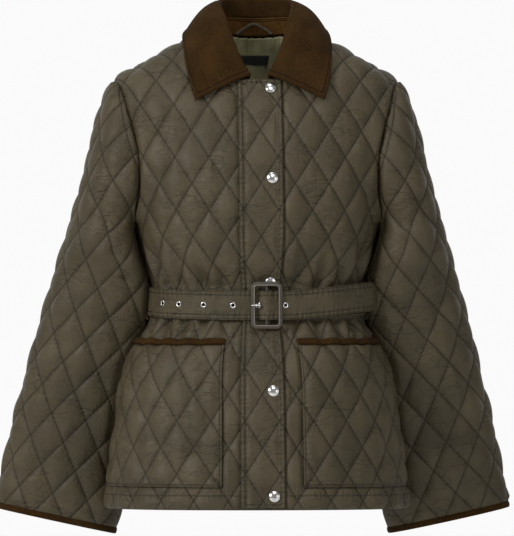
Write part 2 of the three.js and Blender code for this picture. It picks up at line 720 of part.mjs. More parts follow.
// A sheet that lies over the body between two heights above it. Each column states its s and its thickness
function laid(side, levels, columns, base, thickAt) {
  return levels.map((t) =>
    columns(t).map((s) => {
      const [at, n] = [bodyBase(s, t, side), bodyNormal(s, t, side)];
      const thick = thickAt(s, t);
      return {
        s,
        t,
        low: thick.low,
        puff: thick.puff,
        plain: thick.plain,
        inner: at.clone().addScaledVector(n, base),
        outer: at.clone().addScaledVector(n, base + thick.size),
      };
    }),
  );
}

function placketGeometry() {
  const levels = [PLACKET_TOP, PLACKET_TOP + WELT / 2, PLACKET_TOP + WELT];
  levels.push(...BODY_ROWS.filter((t) => t > 40 && t !== 186 && t !== 222 && t !== 582));
  const across = [-PLACKET_HALF, -PLACKET_HALF + WELT / 2, -PLACKET_HALF + WELT, -COL, 0];
  const columns = [...across, ...across.slice(0, -1).map((s) => -s).reverse()];
  const thickAt = (s, t) => {
    const fromSide = PLACKET_HALF - Math.abs(s);
    const fromTop = t - PLACKET_TOP;
    const edge = Math.min(fromSide, fromTop);
    const near = Math.min(...SNAP_T.map((snap) => Math.abs(snap - t)), Math.abs(t - T_WAIST) - 4);
    const puff = edge > WELT ? 0.45 * puffAt(s, t) * smoothstep(near, 14, 24) : 0;
    const welt = Math.abs(edge - WELT / 2) < 0.1 ? 0.9 : 0;
    const plain = Math.abs(s) > 1 && fromSide > 1;
    return { low: false, puff, plain, size: CLOTH + 0.2 + welt + PUFF * puff };
  };
  return geometryOf(wall(laid(-1, levels, () => columns, CLOTH + OVER, thickAt)));
}

function pocketGeometry(mirror) {
  const levels = [POCKET_TOP + POCKET_BAND + SEAM_GAP, 402];
  for (let t = 420; t < POCKET_BOTTOM - 8; t += 2 * ROW) levels.push(t);
  levels.push(POCKET_BOTTOM);
  const columns = (t) => rowPoints(POCKET_INNER, clothWidth(t, -1) - 2, () => false);
  const thickAt = (s, t) => {
    const fromSide = clothWidth(t, -1) - s;
    const edge = s - POCKET_INNER < 1 || fromSide < 4 || t < levels[1] || t > POCKET_BOTTOM - 1;
    const puff = edge || !onQuilting(t) ? 0 : puffAt(s, t) * smoothstep(fromSide, 4, 30);
    const plain = !edge && Math.round(s / COL) % 2 === 1 && foldDepth(s, t, -1) < 0.2;
    return { low: puff < 0.01 && !edge, puff, plain, size: CLOTH + PUFF * puff };
  };
  const position = wall(laid(-1, levels, columns, CLOTH + OVER, thickAt));
  return geometryOf(mirror ? mirrored(position) : position);
}

function pocketBandGeometry(mirror) {
  const levels = [POCKET_TOP, POCKET_TOP + POCKET_BAND / 2, POCKET_TOP + POCKET_BAND];
  const columns = (t) => rowPoints(POCKET_INNER, clothWidth(t, -1) - 2, () => false);
  const thickAt = (s, t) => ({ low: false, puff: 0, size: t === levels[1] ? BAND_THICK : BAND_THICK - 0.8 });
  const position = wall(laid(-1, levels, columns, CLOTH + OVER, thickAt));
  return geometryOf(mirror ? mirrored(position) : position);
}

// The binding round a cuff goes on from the sleeve's last ring
function cuffGeometry(mirror) {
  const steps = 12;
  const ring = sleeveRing(ARM_LENGTH);
  const [front, back] = [ring.front.at(-1).run, ring.back.at(-1).run];
  const around = [];
  for (let k = 0; k < 2 * steps; k++) {
    const u = k < steps ? -front * (1 - k / steps) : (back * (k - steps)) / steps;
    around.push(sleeveForm(u, ARM_LENGTH));
  }
  const centre = around.reduce((sum, p) => sum.add(p), V(0, 0, 0)).divideScalar(around.length);
  const profile = [
    { down: SEAM_GAP, out: -0.4 },
    { down: SEAM_GAP, out: 2.4 },
    { down: CUFF_BAND / 2, out: 3 },
    { down: CUFF_BAND, out: 2.2 },
    { down: CUFF_BAND, out: -0.2 },
  ];
  const list = profile.map(({ down, out }) =>
    around.map((p) => {
      const away = p.clone().sub(centre).normalize();
      return p.clone().addScaledVector(ARM_DOWN, down).addScaledVector(away, out);
    }),
  );
  if (mirror) list.forEach((l) => l.forEach((p) => (p.x = -p.x)));
  return rings(list, true);
}

// The belt's own path at the waist, from the centre front round by +x
const [FRONT_GIRTH, BACK_GIRTH] = [girth(-T_WAIST, -1), girth(-T_WAIST, 1)];
const ROUND_WAIST = 2 * (FRONT_GIRTH + BACK_GIRTH);

function waistPlace(q) {
  const m = q - ROUND_WAIST * Math.floor((q + FRONT_GIRTH) / ROUND_WAIST);
  const front = m <= FRONT_GIRTH;
  const s = front ? m : FRONT_GIRTH + BACK_GIRTH - m;
  const at = along(section(-T_WAIST, front ? -1 : 1), Math.abs(s));
  return { x: Math.sign(s) * at.x, y: at.y, s, front };
}

function beltFrame(q) {
  const [a, b] = [waistPlace(q - 2), waistPlace(q + 2)];
  const n = V(b.y - a.y, a.x - b.x, 0).normalize();
  const at = waistPlace(q);
  const over = at.front ? 1 - smoothstep(Math.abs(at.s), 34, 60) : 0;
  const drop = at.front ? BELT_SAG * (1 - Math.pow(at.s / FRONT_GIRTH, 2)) : 0;
  return { at: V(at.x, at.y, -(BELT_T + drop)), n, base: BELT_OFF + BELT_OVER_PLACKET * over };
}

// The end that shows rises over the buckle's bar and then lies on the end below it
function beltOffset(q) {
  const end = q - ROUND_WAIST;
  const base = beltFrame(q).base;
  if (end < -40) return base + BELT_RISE * (1 - smoothstep(q, BUCKLE_X + 1, BUCKLE_X + 15));
  const hump = Math.exp(-Math.pow((end - BUCKLE_X) / HUMP_REACH, 2));
  const flare = TIP_FLARE * smoothstep(end, BELT_TIP - 66, BELT_TIP + 12);
  return base + BELT_LAP * smoothstep(end, -12, 18) + BELT_HUMP * hump + flare;
}

function beltPoint(q, up, out) {
  const frame = beltFrame(q);
  const lift = TIP_LIFT * smoothstep(q - ROUND_WAIST, 22, BELT_TIP);
  return frame.at.clone().addScaledVector(frame.n, beltOffset(q) + out).add(V(0, 0, up + lift));
}

function beltGeometry() {
  const stations = [];
  const [first, last] = [BUCKLE_X + 1, ROUND_WAIST + BELT_TIP];
  const fine = [-18, 30];
  for (let q = first; q < last; ) {
    stations.push(q);
    const end = q - ROUND_WAIST;
    const nearBuckle = (end > fine[0] && end < fine[1]) || q < 24;
    q += nearBuckle ? 3.5 : 17;
  }
  stations.push(last - 13, last - 5, last);
  stations.sort((a, b) => a - b);
  const half = BELT_WIDTH / 2;
  const profile = [
    { up: -1, out: 0 },
    { up: -1, out: BELT_THICK - 0.6 },
    { up: -0.95, out: BELT_THICK },
    { up: 0.95, out: BELT_THICK },
    { up: 1, out: BELT_THICK - 0.6 },
    { up: 1, out: 0 },
  ];
  const solid = rings(
    stations.map((q) => {
      const taper = clamp((last - q) / 15, 0, 1);
      const width = half * (0.12 + 0.88 * Math.sqrt(taper));
      return profile.map((p) => beltPoint(q, p.up * width, p.out));
    }),
  );
  const holes = EYELET_X.map((x) => {
    const hole = new THREE.CylinderGeometry(EYELET_BARREL_R + 0.4, EYELET_BARREL_R + 0.4, 12, 12);
    hole.applyMatrix4(beltMatrix(ROUND_WAIST + x, 1));
    return hole;
  });
  return carve(solid, holes);
}

// Sets a piece's own +Y along the belt's outward direction at one place
function beltMatrix(q, out, up = 0) {
  const frame = beltFrame(q);
  const lean = beltPoint(q + 1, 0, 0).sub(beltPoint(q - 1, 0, 0)).normalize();
  const n = V(0, 0, 1).cross(lean).multiplyScalar(-1).normalize();
  if (n.dot(frame.n) < 0) n.negate();
  const matrix = new THREE.Matrix4().makeBasis(lean, n, V(0, 0, 1));
  if (matrix.determinant() < 0) matrix.makeBasis(lean.negate(), n, V(0, 0, 1));
  return matrix.setPosition(beltPoint(q, up, 0).addScaledVector(n, out));
}

const wasm = await Module();
wasm.setup();

function solidOf(geometry) {
  const plain = new THREE.BufferGeometry();
  plain.setAttribute("position", geometry.getAttribute("position").clone());
  if (geometry.index) plain.setIndex(geometry.index.clone());
  const merged = mergeVertices(plain, 1e-4);
  const made = new wasm.Manifold(
    new wasm.Mesh({
      numProp: 3,
      vertProperties: new Float32Array(merged.attributes.position.array),
      triVerts: new Uint32Array(merged.index.array),
    }),
  );
  return made;
}

function geometryFrom(solid) {
  const data = solid.getMesh();
  const g = new THREE.BufferGeometry();
  g.setAttribute("position", new THREE.BufferAttribute(new Float32Array(data.vertProperties), 3));
  g.setIndex(new THREE.BufferAttribute(new Uint32Array(data.triVerts), 1));
  g.computeVertexNormals();
  return g;
}

function carve(body, cuts) {
  let made = solidOf(body);
  for (const cut of cuts) made = made.subtract(solidOf(cut));
  return geometryFrom(made);
}

function eyeletGeometry(x) {
  const seat = x === PRONG_X ? 3 * SEAM_GAP : SEAM_GAP;
  const profile = [
    [EYELET_BORE_R, -BELT_THICK],
    [EYELET_BARREL_R, -BELT_THICK],
    [EYELET_BARREL_R, seat],
    [EYELET_R, seat],
    [EYELET_R - 0.6, seat + 0.8],
    [EYELET_BORE_R, seat + 0.6],
    [EYELET_BORE_R, -BELT_THICK],
  ];
  const ring = new THREE.LatheGeometry(profile.map(([r, h]) => new THREE.Vector2(r, h)), 10);
  ring.applyMatrix4(beltMatrix(ROUND_WAIST + x, BELT_THICK));
  return ring;
}

// The buckle: a rounded frame with a raised inner lip, and a thin bar behind the belt
function buckleMatrix() {
  const frame = beltFrame(BUCKLE_X);
  const across = V(-frame.n.y, frame.n.x, 0);
  const matrix = new THREE.Matrix4().makeBasis(across, V(0, 0, 1), frame.n);
  if (matrix.determinant() < 0) matrix.makeBasis(across.negate(), V(0, 0, 1), frame.n);
  return matrix.setPosition(frame.at.clone().addScaledVector(frame.n, BUCKLE_OFF));
}

function buckleGeometry() {
  const loop = (inset, height) => {
    const points = [];
    const [w, h] = [BUCKLE_W / 2 - inset, BUCKLE_H / 2 - inset];
    const radius = Math.max(BUCKLE_CORNER - inset, 2);
    const corners = [
      [w - radius, h - radius, 0],
      [radius - w, h - radius, 1],
      [radius - w, radius - h, 2],
      [w - radius, radius - h, 3],
    ];
    for (const [x, y, turn] of corners) {
      for (let k = 0; k <= 4; k++) {
        const a = ((turn + k / 4) * Math.PI) / 2;
        points.push(V(x + radius * Math.cos(a), y + radius * Math.sin(a), height));
      }
    }
    return points;
  };
  const top = BUCKLE_THICK;
  const frame = rings(
    [
      loop(0.4, 0),
      loop(0, 0.8),
      loop(0, top - 1.4),
      loop(1.2, top - 0.4),
      loop(BUCKLE_BAR - 2, top - 0.4),
      loop(BUCKLE_BAR - 1.4, top),
      loop(BUCKLE_BAR - 0.4, top),
      loop(BUCKLE_BAR, top - 0.6),
      loop(BUCKLE_BAR, 0),
    ],
    true,
  );
  const bar = new THREE.BoxGeometry(3, BUCKLE_H - 2 * BUCKLE_BAR + 4, 1.6).translate(0, 0, 0.8);
  const made = solidOf(frame).add(solidOf(bar));
  return geometryFrom(made).applyMatrix4(buckleMatrix());
}

// A round rod along a curve that stays in one plane. across is a direction that the curve never runs along
function roundRod(path, radius, steps, sides, across) {
  const list = [];
  for (let k = 0; k <= steps; k++) {
    const [at, run] = [path.getPoint(k / steps), path.getTangent(k / steps)];
    const up = run.clone().cross(across).normalize();
    const over = up.clone().cross(run).normalize();
    const ring = [];
    for (let m = 0; m < sides; m++) {
      const a = (m * 2 * Math.PI) / sides;
      ring.push(at.clone().addScaledVector(over, radius * Math.cos(a)).addScaledVector(up, radius * Math.sin(a)));
    }
    list.push(ring);
  }
  return rings(list);
}

// The prong comes up through its eyelet and rests on the frame's far side
function prongGeometry() {
  const place = buckleMatrix();
  const hole = beltMatrix(ROUND_WAIST + PRONG_X, 0);
  const spots = [
    V(-2.8, 0, -0.8).applyMatrix4(place),
    V(0, -2, 0).applyMatrix4(hole),
    V(0, 0.8, 0).applyMatrix4(hole),
    V(0, BELT_THICK + 1.8, 0).applyMatrix4(hole),
    V(-14.5, 0, BUCKLE_THICK + 2.2).applyMatrix4(place),
    V(-17.5, 0, BUCKLE_THICK + 1.5).applyMatrix4(place),
    V(-20.5, 0, BUCKLE_THICK + 1.2).applyMatrix4(place),
  ];
  return roundRod(new THREE.CatmullRomCurve3(spots, false, "centripetal"), PRONG_R, 13, 8, V(0, 0, 1));
}

// A snap's domed cap rests on the highest point of the placket under it
function snapGeometry(t, placket) {
  const profile = [
    [0, 0],
    [SNAP_R - 0.3, 0],
    [SNAP_R, 0.7],
    [SNAP_R - 0.9, 1.6],
    [SNAP_R - 3.4, 2.8],
    [0, 3.3],
  ];
  const dome = new THREE.LatheGeometry(profile.map(([r, h]) => new THREE.Vector2(r, h)), 10);
  const n = bodyNormal(SNAP_S, t, -1);
  const centre = bodyBase(SNAP_S, t, -1);
  const across = V(-n.y, n.x, 0).normalize();
  const up = n.clone().cross(across).normalize();
  const cast = new THREE.Raycaster();
  let high = 0;
  for (const r of [0, 0.55, 1]) {
    for (let k = 0; k < 16; k++) {
      const a = (k * Math.PI) / 8;
      const at = centre.clone().addScaledVector(n, 40);
      at.addScaledVector(across, r * SNAP_R * Math.cos(a)).addScaledVector(up, r * SNAP_R * Math.sin(a));
      cast.set(at, n.clone().negate());
      const hit = cast.intersectObject(placket)[0];
      if (hit) high = Math.max(high, 40 - hit.distance);
    }
  }
  const matrix = new THREE.Matrix4().makeBasis(across, n, up);
  if (matrix.determinant() < 0) matrix.makeBasis(across.negate(), n, up);
  return dome.applyMatrix4(matrix.setPosition(centre.addScaledVector(n, high + SEAM_GAP)));
}

// The neck's seam, by the same turn as the collar's table
function neckSeam(turn) {
  const side = turn > SHOULDER_TURN ? 1 : -1;
  const top = seamT(sAtX(NECK_X, side), side);
  const low = side > 0 ? T_NECK_BACK : T_NECK_FRONT;
  const share = side > 0 ? (180 - turn) / (180 - SHOULDER_TURN) : turn / SHOULDER_TURN;
  const a = (share * Math.PI) / 2;
  const at = bodyForm(sAtX(NECK_X, side) * Math.sin(a), top + (low - top) * Math.cos(a), side);
  return at.sub(collarOut(turn).multiplyScalar(STAND_IN));
}

function collarOut(turn) {
  const a = THREE.MathUtils.degToRad(turn);
  return V(Math.sin(a), -Math.cos(a), 0);
}

const rollLine = (turn) =>
  V(read(COLLAR, "turn", "rollX", turn), read(COLLAR, "turn", "rollY", turn), read(COLLAR, "turn", "rollZ", turn));
const collarEdge = (turn) =>
  V(read(COLLAR, "turn", "edgeX", turn), read(COLLAR, "turn", "edgeY", turn), read(COLLAR, "turn", "edgeZ", turn));

function collarTurns() {
  const turns = [COLLAR[0].turn];
  for (let a = 20; a < 180; a += 12) turns.push(a);
  return [...turns, 180];
}

// The stand: from the neck's seam up to the seam where the fall begins
function standGeometry() {
  const rows = collarTurns().map((turn) => {
    const [low, roll, out] = [neckSeam(turn), rollLine(turn), collarOut(turn)];
    const high = roll.clone().addScaledVector(out, -FOLD_R);
    return [0, 0.5, 1].map((f) => {
      const inner = low.clone().lerp(high, f * STAND_SHARE);
      return { s: f * 20, t: turn, low: false, puff: 0, inner, outer: inner.clone().addScaledVector(out, -COLLAR_THICK) };
    });
  });
  const half = wall(rows, (p) => Math.abs(p.inner.x) < 1e-6);
  return geometryOf([...half, ...mirrored(half)]);
}

// The fall: from its seam on the stand, over the roll line and down to the outer edge
function fallGeometry() {
  const rows = collarTurns().map((turn) => {
    const [low, roll, out, edge] = [neckSeam(turn), rollLine(turn), collarOut(turn), collarEdge(turn)];
    const inside = roll.clone().addScaledVector(out, -FOLD_R);
    const outside = roll.clone().addScaledVector(out, FOLD_R);
    const run = edge.clone().sub(outside);
    const runWay = run.clone().normalize();
    const side = V(-Math.cos(THREE.MathUtils.degToRad(turn)), -Math.sin(THREE.MathUtils.degToRad(turn)), 0);
    let away = runWay.clone().cross(side).normalize();
    if (away.dot(V(out.x, out.y, 0.6)) < 0) away = away.negate();
    const full = BULGE * (BULGE_AT_END + (1 - BULGE_AT_END) * smoothstep(turn, 10, 44));
    const bulge = (f) => outside.clone().lerp(edge, f).addScaledVector(away, full * Math.sin(Math.PI * Math.pow(f, 0.75)));
    const up = V(0, 0, 1);
    const standSide = out.clone().multiplyScalar(-1);
    const path = [
      { at: low.clone().lerp(inside, STAND_SHARE + 0.01), n: standSide },
      { at: low.clone().lerp(inside, STAND_SHARE + (1 - STAND_SHARE) * 0.75), n: standSide },
      { at: inside.clone().addScaledVector(up, -1), n: standSide.clone().addScaledVector(up, 0.5).normalize() },
      { at: roll.clone().addScaledVector(up, FOLD_R * 0.4), n: up },
      { at: outside.clone().addScaledVector(up, -0.5), n: away.clone().addScaledVector(up, 0.7).normalize() },
      { at: bulge(0.2), n: away },
      { at: bulge(0.45), n: away },
      { at: bulge(0.72), n: away },
      { at: edge, n: away },
    ];
    return path.map((p, k) => ({
      s: k * 10,
      t: turn,
      low: false,
      puff: 0,
      inner: p.at,
      outer: p.at.clone().addScaledVector(p.n, COLLAR_THICK),
    }));
  });
  const half = wall(rows, (p) => Math.abs(p.inner.x) < 1e-6);
  return geometryOf([...half, ...mirrored(half)]);
}

// The lining inside the back of the neck, and the bare label sewn on it
function liningGeometry() {
  const rows = [];
  for (let t = -42; t <= 100; t += 2 * ROW - 0.5) {
    const reach = Math.min(LINING_HALF, t < -20 ? neckS(t, 1) + 10 : LINING_HALF);
    rows.push(
      [-1, -0.75, -0.5, -0.25, 0, 0.25, 0.5, 0.75, 1].map((f) => {
        const [at, n] = [bodyBase(f * reach, t, 1), bodyNormal(f * reach, t, 1)];
        const outer = at.clone().addScaledVector(n, -LINING_IN);
        return { s: f * reach, t, low: false, puff: 0, inner: at.addScaledVector(n, -LINING_IN - LINING_THICK), outer };
      }),
    );
  }
  return geometryOf(wall(rows));
}

function labelGeometry() {
  const rows = [0, 1].map((down) =>
    [-1, 0, 1].map((f) => {
      const [s, t] = [f * (LABEL_W / 2 - 3 * down), LABEL_T + down * LABEL_H];
      const [at, n] = [bodyBase(s, t, 1), bodyNormal(s, t, 1)];
      const outer = at.clone().addScaledVector(n, -LINING_IN - LINING_THICK - 0.6);
      const off = 1 + (f > 0 ? 2 : 0);
      return { s, t, low: false, puff: 0, inner: outer.clone().addScaledVector(n, -off), outer };
    }),
  );
  return geometryOf(wall(rows));
}

// The hang loop: a ribbon that arches up over the stand's inner face
function hangLoopGeometry() {
  const steps = 12;
  const list = [];
  for (let k = 0; k <= steps; k++) {
    const a = (k / steps) * Math.PI;
    const x = -LOOP_HALF * Math.cos(a);
    const rise = LOOP_RISE * (1 - Math.pow(Math.abs(Math.cos(a)), 1.35));
    const turn = 180 - THREE.MathUtils.radToDeg(Math.atan2(Math.abs(x), 62));
    const [low, roll, out] = [neckSeam(turn), rollLine(turn), collarOut(turn)];
    const high = roll.clone().addScaledVector(out, -FOLD_R);
    const f = (LOOP_LOW + rise) / (high.z - low.z);
    const at = low.lerp(high, f);
    at.x = x;
    at.y -= COLLAR_THICK + 1.6;
    const slope = Math.sign(Math.cos(a)) * Math.pow(Math.abs(Math.cos(a)), 0.35) * 1.35;
    const tangent = V(1, 0, (LOOP_RISE / LOOP_HALF) * slope).normalize();
    const wide = V(-tangent.z, 0, tangent.x).multiplyScalar(LOOP_WIDTH / 2);
    const deep = V(0, 0.5, 0);
    list.push([
      at.clone().add(wide).add(deep),
      at.clone().sub(wide).add(deep),
      at.clone().sub(wide).sub(deep),
      at.clone().add(wide).sub(deep),
    ]);
  }
  return rings(list);
}

// A thread loop that holds the belt at each side
function beltLoopGeometry(mirror) {
  const q = LOOP_SIDE;
  const frame = beltFrame(q);
  const reach = BELT_WIDTH / 2 + 5;
  const spots = [
    [reach, -0.7],
    [reach - 2, 3],
    [BELT_WIDTH / 2 - 2, 4.6],
    [0, 5],
    [2 - BELT_WIDTH / 2, 4.6],
    [2 - reach, 3],
    [-reach, -0.7],
  ];
  const points = spots.map(([up, out]) => {
    const at = frame.at.clone().addScaledVector(frame.n, BELT_OFF + out).add(V(0, 0, up));
    if (mirror) at.x = -at.x;
    return at;
  });
  return roundRod(new THREE.CatmullRomCurve3(points), 0.9, 9, 6, frame.n);
}

const jacket = new THREE.Group();
const add = (name, geometry, look) => jacket.add(mesh(name, geometry, look));
const sleeve = wall(sleeveRows());
const placket = mesh("placket", placketGeometry(), SHELL);
add("front_left", buildFront(false, PLACKET_SEAM), SHELL);
add("front_right", buildFront(true, -PLACKET_SEAM + SEAM_GAP), SHELL);
add("back", buildBack(), SHELL);
add("sleeve_left", geometryOf(sleeve), SHELL);
add("sleeve_right", geometryOf(mirrored(sleeve)), SHELL);
jacket.add(placket);
add("pocket_left", pocketGeometry(false), SHELL);
add("pocket_right", pocketGeometry(true), SHELL);
add("pocket_band_left", pocketBandGeometry(false), CORD);
add("pocket_band_right", pocketBandGeometry(true), CORD);
add("cuff_band_left", cuffGeometry(false), CORD);
add("cuff_band_right", cuffGeometry(true), CORD);
add("belt", beltGeometry(), SHELL);
add("buckle", buckleGeometry(), SHELL);
add("buckle_prong", prongGeometry(), METAL);
EYELET_X.forEach((x, k) => add("eyelet_" + (k + 1), eyeletGeometry(x), METAL));
placket.updateMatrixWorld(true);
SNAP_T.forEach((t, k) => add("snap_" + (k + 1), snapGeometry(t, placket), METAL));
add("belt_loop_left", beltLoopGeometry(false), SHELL);
add("belt_loop_right", beltLoopGeometry(true), SHELL);
add("collar_stand", standGeometry(), CORD);
add("collar_fall", fallGeometry(), CORD);
add("neck_lining", liningGeometry(), LINING);
add("label", labelGeometry(), LABEL);
add("hang_loop", hangLoopGeometry(), SHELL);

export default jacket;
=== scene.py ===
"""The looks of a quilted jacket: cord collar, snap placket, two patch pockets, a buckled belt.

Sizes on the cloth are in millimetres, and every finished mesh is in metres. The front faces -Y.
s runs round the body from the centre line, t runs down the cloth from the height of the origin.
"""

import math

import bmesh
import bpy
import numpy as np
from mathutils import Matrix, Vector


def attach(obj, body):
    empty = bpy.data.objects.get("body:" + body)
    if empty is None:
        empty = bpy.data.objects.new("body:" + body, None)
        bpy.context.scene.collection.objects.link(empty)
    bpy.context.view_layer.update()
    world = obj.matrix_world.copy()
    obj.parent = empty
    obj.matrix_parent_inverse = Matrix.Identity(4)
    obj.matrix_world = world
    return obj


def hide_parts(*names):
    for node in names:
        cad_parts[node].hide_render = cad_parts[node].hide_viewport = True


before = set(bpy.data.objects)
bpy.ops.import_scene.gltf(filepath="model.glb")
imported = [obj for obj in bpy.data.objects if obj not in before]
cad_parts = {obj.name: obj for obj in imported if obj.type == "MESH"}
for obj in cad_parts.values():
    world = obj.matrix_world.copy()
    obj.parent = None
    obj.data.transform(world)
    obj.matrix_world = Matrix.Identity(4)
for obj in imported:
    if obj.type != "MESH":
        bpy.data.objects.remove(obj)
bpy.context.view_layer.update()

MM = 0.001
FRONT, BACK = BOTH = -1, 1
SIDES = {"left": 1, "right": -1}

# Thicknesses, and the distance within which cloth is sewn together
CLOTH, WELD = 2, 0.02
CUFF_WALL, BAND_WALL, POCKET_WALL, RIBBON_WALL, LABEL_WALL = 0.9, 1.5, 1.8, 1.0, 0.6
EYELET_STEPS, SNAP_STEPS = 32, 48


def table(names, *rows):
    """A short table with named columns, as one array for each column."""
    return dict(zip(names.split(), np.array(rows, float).T))


# The quilting: diamonds, and the grid cells whose diagonals run along the stitch lines
DIAMOND_W, DIAMOND_H = 47, 72
CELL_W, CELL_H = DIAMOND_W / 16, DIAMOND_H / 16
QUILT_START = 24
PUFF, PUFF_ROUND, EDGE_THINNING = 4.9, 0.62, 1.4
STITCH_PITCH = 3.3

# Levels down the cloth
T_YOKE, T_ARMPIT, T_WAIST, T_HEM = 60, 240, 330, 612
T_NECK = {FRONT: 24, BACK: -48}
NECK_X, TIP_X, TIP_Z, TIP_Y = 72, 196, -30, 5
NECK_LEVELS = (0, 0.3, 0.6, 0.8, 0.9, 0.97, 1)
ROUNDNESS = 2.4
SEAM_GAP, SEAM_REACH, FAR_INSIDE = 0.3, 14, 400
SHOULDER_LEAN = 0.55
SHOULDER_OUT = np.array([math.sin(SHOULDER_LEAN), 0, math.cos(SHOULDER_LEAN)])
SIDE_COLUMN = {FRONT: "front", BACK: "back"}

# The body's level sections
TORSO = table(
    "z half front back seam_y",
    (46, 50, 30, 38, 5),
    (38, 72, 36, 44, 5),
    (16, 118, 50, 57, 5),
    (-3, 152, 62, 68, 5),
    (-30, 196, 77, 80, 5),
    (-60, 213, 92, 91, 5),
    (-110, 206, 109, 102, 4),
    (-180, 182, 121, 108, 2),
    (-240, 163, 122, 107, 0),
    (-276, 155, 116, 103, 0),
    (-303, 146, 107, 97, 0),
    (-330, 145, 106, 96, 0),
    (-357, 147, 107, 98, 0),
    (-386, 163, 118, 112, -1),
    (-430, 179, 132, 121, -4),
    (-480, 187, 138, 127, -7),
    (-560, 198, 144, 133, -12),
    (-612, 206, 147, 136, -15),
)

# How far round from the centre line the cloth reaches at the armhole
ARMHOLE = table(
    "t front back",
    (24, 197, 197),
    (60, 187, 189),
    (96, 177, 182),
    (132, 172, 179),
    (168, 176, 182),
    (186, 183, 188),
    (204, 195, 198),
    (222, 211, 211),
)

# Gathers that the belt pulls in
COL = DIAMOND_W / 4
FOLDS = {
    FRONT: table(
        "s depth above below",
        (5 * COL, 5, 34, 26),
        (8 * COL, 10, 46, 34),
        (11 * COL, 8, 40, 40),
        (14 * COL, 12, 58, 36),
        (17 * COL, 9, 44, 40),
    ),
    BACK: table(
        "s depth above below",
        (3 * COL, 9, 52, 40),
        (6 * COL, 7, 42, 46),
        (9 * COL, 11, 60, 38),
        (12 * COL, 8, 44, 48),
        (15 * COL, 10, 50, 36),
    ),
}
FOLD_WIDTH, UNDER_BELT = 9, 0.45

# The arm's sections square to it, w down the arm from the shoulder tip
ARM_ANGLE = math.radians(12.3)
ARM_LENGTH, ARM_ARMPIT, ARM_ROUNDNESS = 597, 208, 2.2
SLEEVE = table(
    "w inner outer y depth",
    (0, -8, 0, 5, 10),
    (22, -18, 4.5, 5, 26),
    (50, -44, 7.5, 5, 48),
    (82, -62, 9, 5, 62),
    (114, -72, 10, 4, 69),
    (146, -78, 11, 3, 72),
    (208, -80, 14, 1, 71),
    (234, -97, 16, 6, 68.5),
    (264, -118, 18.3, 17, 65.7),
    (296, -128, 20.7, 25, 63),
    (340, -126, 24, 33, 59),
    (420, -130, 28, 52, 54),
    (500, -132, 30, 72, 50),
    (597, -136, 31, 88, 47),
)
CAP = table(
    "t w",
    (24, 22),
    (60, 50),
    (96, 82),
    (132, 114),
    (168, 146),
    (186, 162),
    (204, 178),
    (222, 193),
    (240, 208),
)
ARM_GAP, ARM_GAP_SLOPE, ARM_GAP_BELT, ARM_GAP_BELOW = 8, 0.6, 8, 2
ARM_DOWN = np.array([math.sin(ARM_ANGLE), 0, -math.cos(ARM_ANGLE)])
ARM_OUT = np.array([math.cos(ARM_ANGLE), 0, math.sin(ARM_ANGLE)])
TIP = np.array([TIP_X, TIP_Y, TIP_Z], float)

# Placket, pockets and bands
PLACKET_HALF, PLACKET_SEAM, PLACKET_TOP, WELT, OVER = 31, -16, 22, 8, 1
POCKET_INNER, POCKET_TOP, POCKET_BOTTOM, POCKET_BAND = 55, 380, 582, 9
POCKET_OUTER_IN, POCKET_HEM = 1.5, 5.5

# Belt and buckle
BELT_WIDTH, BELT_THICK, BELT_T, BELT_SAG = 40, 2.4, 327.5, 6.5
BELT_OFF, BELT_OVER_PLACKET, BELT_RISE, BELT_LAP = 4, 3.8, 2.5, 2.9
BELT_HUMP, HUMP_REACH, BELT_TIP = 6.4, 8.5, 172
TIP_FLARE, TIP_LIFT = 16, 8
EYELET_X = (-139, -112, -77, -37, -3, 32)
HEM_STITCH_IN, BELT_STITCH_IN, TIP_TAPER, HOLE_R, HOLE_REACH = 19, 6.5, 16, 2.45, 2.3
LOOP_SIDE = 186
PRONG_X, PRONG_R = -3, 0.9
BUCKLE_X, BUCKLE_W, BUCKLE_H, BUCKLE_CORNER, BUCKLE_BAR = 7, 43, 64, 8, 5.5
BUCKLE_THICK, BUCKLE_OFF = 4.5, 14

# Snaps, lining, label, hang loop
SNAP_T, SNAP_S = (37, 161, 302, 451, 594), 15
LINING_HALF, LINING_IN, LINING_THICK, LINING_T = 74, 1.3, 1.2, 100
LABEL_T, LABEL_H, LABEL_W = -20, 15, 45
LOOP_HALF, LOOP_RISE, LOOP_LOW, LOOP_WIDTH = 24, 15, 2, 4

# The collar's roll line and outer edge, from the front end round to the centre back
COLLAR = table(
    "turn roll_x roll_y roll_z edge_x edge_y edge_z",
    (10, 12, -75, -20, 88, -92, -54),
    (24, 24, -66, 1, 97, -72, -22),
    (42, 36, -52, 30, 101, -46, 8),
    (62, 45, -32, 58, 102, -20, 30),
    (82, 51, -8, 76, 99, 6, 37),
    (105, 49, 17, 84, 88, 40, 31),
    (130, 38, 38, 86, 66, 63, 20),
    (155, 20, 50, 87, 35, 73, 14),
    (180, 0, 54, 87, 0, 76, 12),
)
COLLAR_THICK, STAND_SHARE, STAND_IN, SHOULDER_TURN, FOLD_R, BULGE = 2, 0.5, 1.5, 82, 1.8, 9
BULGE_AT_END = 0.3


def smooth(x, low, high):
    f = np.clip((x - low) / (high - low), 0, 1)
    return f * f * (3 - 2 * f)


def unit(v):
    return v / np.maximum(np.linalg.norm(v, axis=-1, keepdims=True), 1e-9)


